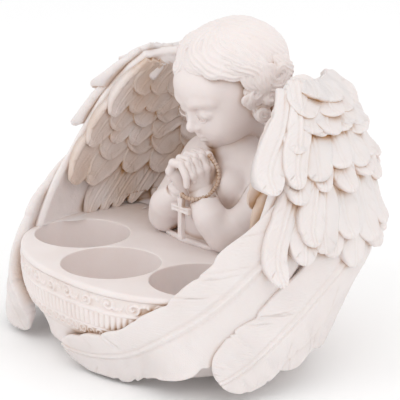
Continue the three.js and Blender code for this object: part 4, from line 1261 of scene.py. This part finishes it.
def makeRosary():
    print("rosary")
    points = curveThrough(rosary["loop"], np.linspace(0, 1, 60)) * millimetre
    curve = bpy.data.curves.new("rosary", "CURVE")
    curve.dimensions = "3D"
    line = curve.splines.new("POLY")
    line.points.add(len(points) - 1)
    for point, co in zip(line.points, points):
        point.co = (*co, 1)
    holder = bpy.data.objects.new("rosary", curve)
    bpy.context.scene.collection.objects.link(holder)
    tree = bpy.data.node_groups.new("beadsOnCord", "GeometryNodeTree")
    face = tree.interface
    face.new_socket("Geometry", in_out="INPUT", socket_type="NodeSocketGeometry")
    for title, kind in (("Beads", "NodeSocketInt"), ("Bead radius", "NodeSocketFloat"),
                        ("Cord radius", "NodeSocketFloat"), ("Finish", "NodeSocketMaterial")):
        face.new_socket(title, in_out="INPUT", socket_type=kind)
    face.new_socket("Geometry", in_out="OUTPUT", socket_type="NodeSocketGeometry")
    given = addNode(tree, "NodeGroupInput")
    spots = addNode(tree, "GeometryNodeCurveToPoints",
                    {"Curve": (given, "Geometry"), "Count": (given, "Beads")}, mode="COUNT")
    ball = addNode(tree, "GeometryNodeMeshIcoSphere", {"Radius": (given, "Bead radius"), "Subdivisions": 3})
    uneven = addNode(tree, "FunctionNodeRandomValue", {2: 0.88, 3: 1.08, "Seed": 3})
    beads = addNode(tree, "GeometryNodeInstanceOnPoints",
                    {"Points": (spots, "Points"), "Instance": (ball, "Mesh"), "Rotation": (spots, "Rotation"),
                     "Scale": (uneven, 1)})
    section = addNode(tree, "GeometryNodeCurvePrimitiveCircle",
                      {"Radius": (given, "Cord radius"), "Resolution": 10})
    cord = addNode(tree, "GeometryNodeCurveToMesh",
                   {"Curve": (given, "Geometry"), "Profile Curve": (section, "Curve"), "Fill Caps": True})
    both = addNode(tree, "GeometryNodeJoinGeometry")
    tree.links.new(cord.outputs[0], both.inputs[0])
    tree.links.new(beads.outputs[0], both.inputs[0])
    real = addNode(tree, "GeometryNodeRealizeInstances", {0: (both, 0)})
    rounded = addNode(tree, "GeometryNodeSetShadeSmooth", {0: (real, 0)})
    dressed = addNode(tree, "GeometryNodeSetMaterial", {0: (rounded, 0), "Material": (given, "Finish")})
    addNode(tree, "NodeGroupOutput", {0: (dressed, 0)})
    nodes = holder.modifiers.new("beads", "NODES")
    nodes.node_group = tree
    values = {"Beads": rosary["beads"], "Bead radius": rosary["beadRadius"] * millimetre,
              "Cord radius": rosary["cordRadius"] * millimetre, "Finish": materials["castResinIvory"]}
    for item in face.items_tree:
        if item.in_out == "INPUT" and item.name in values:
            nodes[item.identifier] = values[item.name]
    mesh = plainMesh(holder)
    bpy.data.objects.remove(holder)
    piece = bpy.data.objects.new("rosaryBeads", mesh)
    bpy.context.scene.collection.objects.link(piece)
    keepPiece(piece, None, "castResinIvory", ["rosary"])


cross = {"length": 18, "bar": 11, "thickness": 2.4, "top": (3, -0.6, 62.8), "voxel": 0.22, "barRise": 0.22,
         "rounding": 0.35, "flare": 0.35}


def makeCross():
    print("cross")
    clay = Clay((-5, -3.6, 43.5), (11, 3, 67), cross["voxel"])
    x, y, top = cross["top"]
    low = top - cross["length"]
    middle = (top + low) / 2 + cross["length"] * cross["barRise"]
    half, r = cross["bar"] / 2, cross["thickness"] / 2

    def bar(a, b):
        # a flat bar with softened edges that flares a little at its ends
        a, b = np.array(a, float), np.array(b, float)
        where, (gx, gy, gz) = clay.part(np.minimum(a, b) - 3, np.maximum(a, b) + 3)
        centre, reach = (a + b) / 2, np.abs(b - a) / 2 + r
        long = gz - centre[2] if reach[2] > reach[0] else gx - centre[0]
        flare = cross["flare"] * smooth((np.abs(long) - max(reach) + 3.2) / 2.6)
        soft = cross["rounding"]
        qx = np.abs(gx - centre[0]) - reach[0] + soft - (flare if reach[2] > reach[0] else 0)
        qy = np.abs(gy - centre[1]) - r + soft + 0 * gx
        qz = np.abs(gz - centre[2]) - reach[2] + soft - (flare if reach[2] <= reach[0] else 0)
        outside = np.sqrt(np.maximum(qx, 0) ** 2 + np.maximum(qy, 0) ** 2 + np.maximum(qz, 0) ** 2)
        inside = np.minimum(np.maximum(np.maximum(qx, qy), qz), 0)
        clay.blend(where, outside + inside - soft, 0.3, False)

    bar([x, y, low + r], [x, y, top - r])
    bar([x - half + r, y, middle], [x + half - r, y, middle])
    # the ring that it hangs by, and a groove down each bar
    ring = [[x + 0.25, y + 1.0 * math.sin(v), top + 0.9 + 1.1 * math.cos(v)]
            for v in np.linspace(0, 2 * math.pi, 17)]
    clay.stroke(ring, [0.42] * 17, 0.25)
    clay.stroke([[x, y - r, low + 1.5], [x, y - r, top - 1.5]], [0.3, 0.3], 0.3, cut=True)
    clay.stroke([[x - half + 1, y - r, middle], [x + half - 1, y - r, middle]], [0.3, 0.3], 0.3, cut=True)
    addPiece("cross", clay.skin(), "castResinIvory", ["cross"])


# ---- the stain wash and painted shade: brown where surfaces crowd together ----
# a grid holds how crowded each place is, and each point reads it a little way out of its own surface: open
# places stay bare and tight ones go brown, as the stain wash that settles there and as painted shade where
# crowding blocks the light
# inner is a flat painted shade laid on the wings' inner coverts
washAndShadeLook = {"cell": 1.25, "reach": 3.2, "outward": 1.9, "open": 0.40, "tight": 0.95, "share": 0.95,
             "own": 0.45, "inner": 0.6, "rosary": 0.62, "rosaryOwn": 1.6, "margin": 12, "cloud": 14.0}


def blurred(grid, sigma):
    # a Gaussian blur by its transform
    spectrum = np.fft.rfftn(grid)
    for axis, n in enumerate(grid.shape):
        f = np.fft.rfftfreq(n) if axis == 2 else np.fft.fftfreq(n)
        shape = [1, 1, 1]
        shape[axis] = -1
        spectrum = spectrum * np.exp(-2 * (math.pi * f * sigma) ** 2).reshape(shape)
    return np.fft.irfftn(spectrum, grid.shape)


def layWashAndShade():
    print("stain")
    cell = washAndShadeLook["cell"]

    def read(rows, field):
        values = np.zeros(len(rows) * 3, np.float32)
        rows.foreach_get(field, values)
        return values.reshape(-1, 3)

    clouds = []
    for item in pieces:
        mesh = item["piece"].data
        clouds.append((read(mesh.vertices, "co") / millimetre, read(mesh.vertex_normals, "vector"),
                       read(mesh.polygons, "center") / millimetre))
    low = np.min([c[0].min(0) for c in clouds], axis=0) - washAndShadeLook["margin"]
    high = np.max([c[0].max(0) for c in clouds], axis=0) + washAndShadeLook["margin"]
    size = np.ceil((high - low) / cell).astype(int)
    solid = np.zeros(size, np.float32)
    for co, _, centres in clouds:
        for p in (co, centres):
            i = ((p - low) / cell).astype(int)
            solid[i[:, 0], i[:, 1], i[:, 2]] = 1
    crowd = blurred(solid, washAndShadeLook["reach"] / cell / 2)
    crowd = crowd / np.percentile(crowd[solid > 0], 92)
    for item, (co, no, _) in zip(pieces, clouds):
        i = np.clip((co + no * washAndShadeLook["outward"] - low) / cell - 0.5, 0, size - 2)
        base = i.astype(int)
        value = np.zeros(len(co))
        for step, weight in cellCorners(i - base):
            j = base + step
            value += weight * crowd[j[:, 0], j[:, 1], j[:, 2]]
        # crowded places are browned: painted shade where surfaces block the light, together with the stain
        # wash that settles there
        hollow = np.clip((value - washAndShadeLook["open"]) / (washAndShadeLook["tight"] - washAndShadeLook["open"]), 0, 1) ** 1.4
        own = item["stain"] if item["stain"] is not None else 0
        # the wings' inner coverts take a flat painted shade; the rosary beads take their own darker tint
        innerShadeAndBeadTint = washAndShadeLook["inner"] if "Inner" in item["piece"].name else 0
        if item["piece"].name == "rosaryBeads":
            own = washAndShadeLook["rosaryOwn"]
            innerShadeAndBeadTint = washAndShadeLook["rosary"]
        cloud = softNoise(co, washAndShadeLook["cloud"], 31)
        total = washAndShadeLook["share"] * hollow + washAndShadeLook["own"] * own * (0.3 + hollow)
        total = np.clip(total + innerShadeAndBeadTint * (0.55 + 0.45 * cloud), 0, 1)
        layer = item["piece"].data.attributes.new("stain", "FLOAT", "POINT")
        layer.data.foreach_set("value", total.astype(np.float32))


view = {"around": 51, "above": 16.5, "away": 0.7, "target": (0, 0, 0.06), "lens": 151.2,
        "shift": (0.055, 0.005)}
lights = {"sky": 0.94, "boxes": {
    "key": {"around": -20, "above": 42, "away": 1.5, "size": 0.9, "power": 1.9},
    "fill": {"around": 80, "above": 30, "away": 1.8, "size": 1.4, "power": 4.0},
    "top": {"around": 150, "above": 65, "away": 1.4, "size": 0.8, "power": 0.9},
}}
floorSize = 3.0  # metres from the middle to an edge


def stand(name, data, spec):
    # a lamp or camera that faces the object, around degrees to the right of its front and above degrees up
    scene = bpy.context.scene
    thing = bpy.data.objects.new(name, data)
    a, e = math.radians(spec["around"]), math.radians(spec["above"])
    back = Vector((math.sin(a) * math.cos(e), -math.cos(a) * math.cos(e), math.sin(e)))
    thing.location = Vector(view["target"]) + back * spec["away"]
    thing.rotation_euler = back.to_track_quat("Z", "Y").to_euler()
    scene.collection.objects.link(thing)
    return thing


def makeStage():
    print("floor, lights and camera")
    scene = bpy.context.scene
    floor = bpy.data.objects.new("floor", bpy.data.meshes.new("floor"))
    corners = [(x * floorSize, y * floorSize, 0) for x, y in ((-1, -1), (1, -1), (1, 1), (-1, 1))]
    floor.data.from_pydata(corners, [], [(0, 1, 2, 3)])
    material, tree, output = newMaterial("paleFloor")
    place = addNode(tree, "ShaderNodeTexCoord")
    cloud = addNode(tree, "ShaderNodeTexNoise", {"Vector": (place, "Object"), "Scale": 3.0})
    tint = addNode(tree, "ShaderNodeMix", {0: (cloud, 0), 6: linear("#ffffff"), 7: linear("#fcfcfc")},
                   data_type="RGBA")
    skin = addNode(tree, "ShaderNodeBsdfPrincipled", {"Base Color": (tint, 2), "Roughness": 0.9})
    tree.links.new(skin.outputs[0], output.inputs[0])
    floor.data.materials.append(material)
    scene.collection.objects.link(floor)
    world = bpy.data.worlds.new("studio")
    world.use_nodes = True
    sky = world.node_tree.nodes["Background"]
    sky.inputs[0].default_value = (1, 1, 1, 1)
    sky.inputs[1].default_value = lights["sky"]
    scene.world = world
    for name, spec in lights["boxes"].items():
        lamp = bpy.data.lights.new(name, "AREA")
        lamp.shape = "DISK"
        lamp.size = spec["size"]
        lamp.energy = spec["power"]
        stand(name, lamp, spec)
    lens = bpy.data.cameras.new("camera")
    lens.lens = view["lens"]
    lens.sensor_width = 36
    lens.shift_x, lens.shift_y = view["shift"]
    lens.clip_start = 0.05
    lens.clip_end = 20
    scene.camera = stand("camera", lens, view)
    scene.view_settings.view_transform = "Standard"


makeBowl()
makeBand()
makeWebs()
makeFlightFeathers()
makeCoverts()
makeBody()
makeHands()
makeHead()
makeHair()
makeCurls()
makeDrape()
makeRosary()
makeCross()
makeFelt()
layWashAndShade()
for item in pieces:
    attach(item["piece"], "root")
    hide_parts(*item["replaced"])
makeStage()

print("pieces", len(pieces), "triangles", sum(len(p["piece"].data.loop_triangles) for p in pieces))
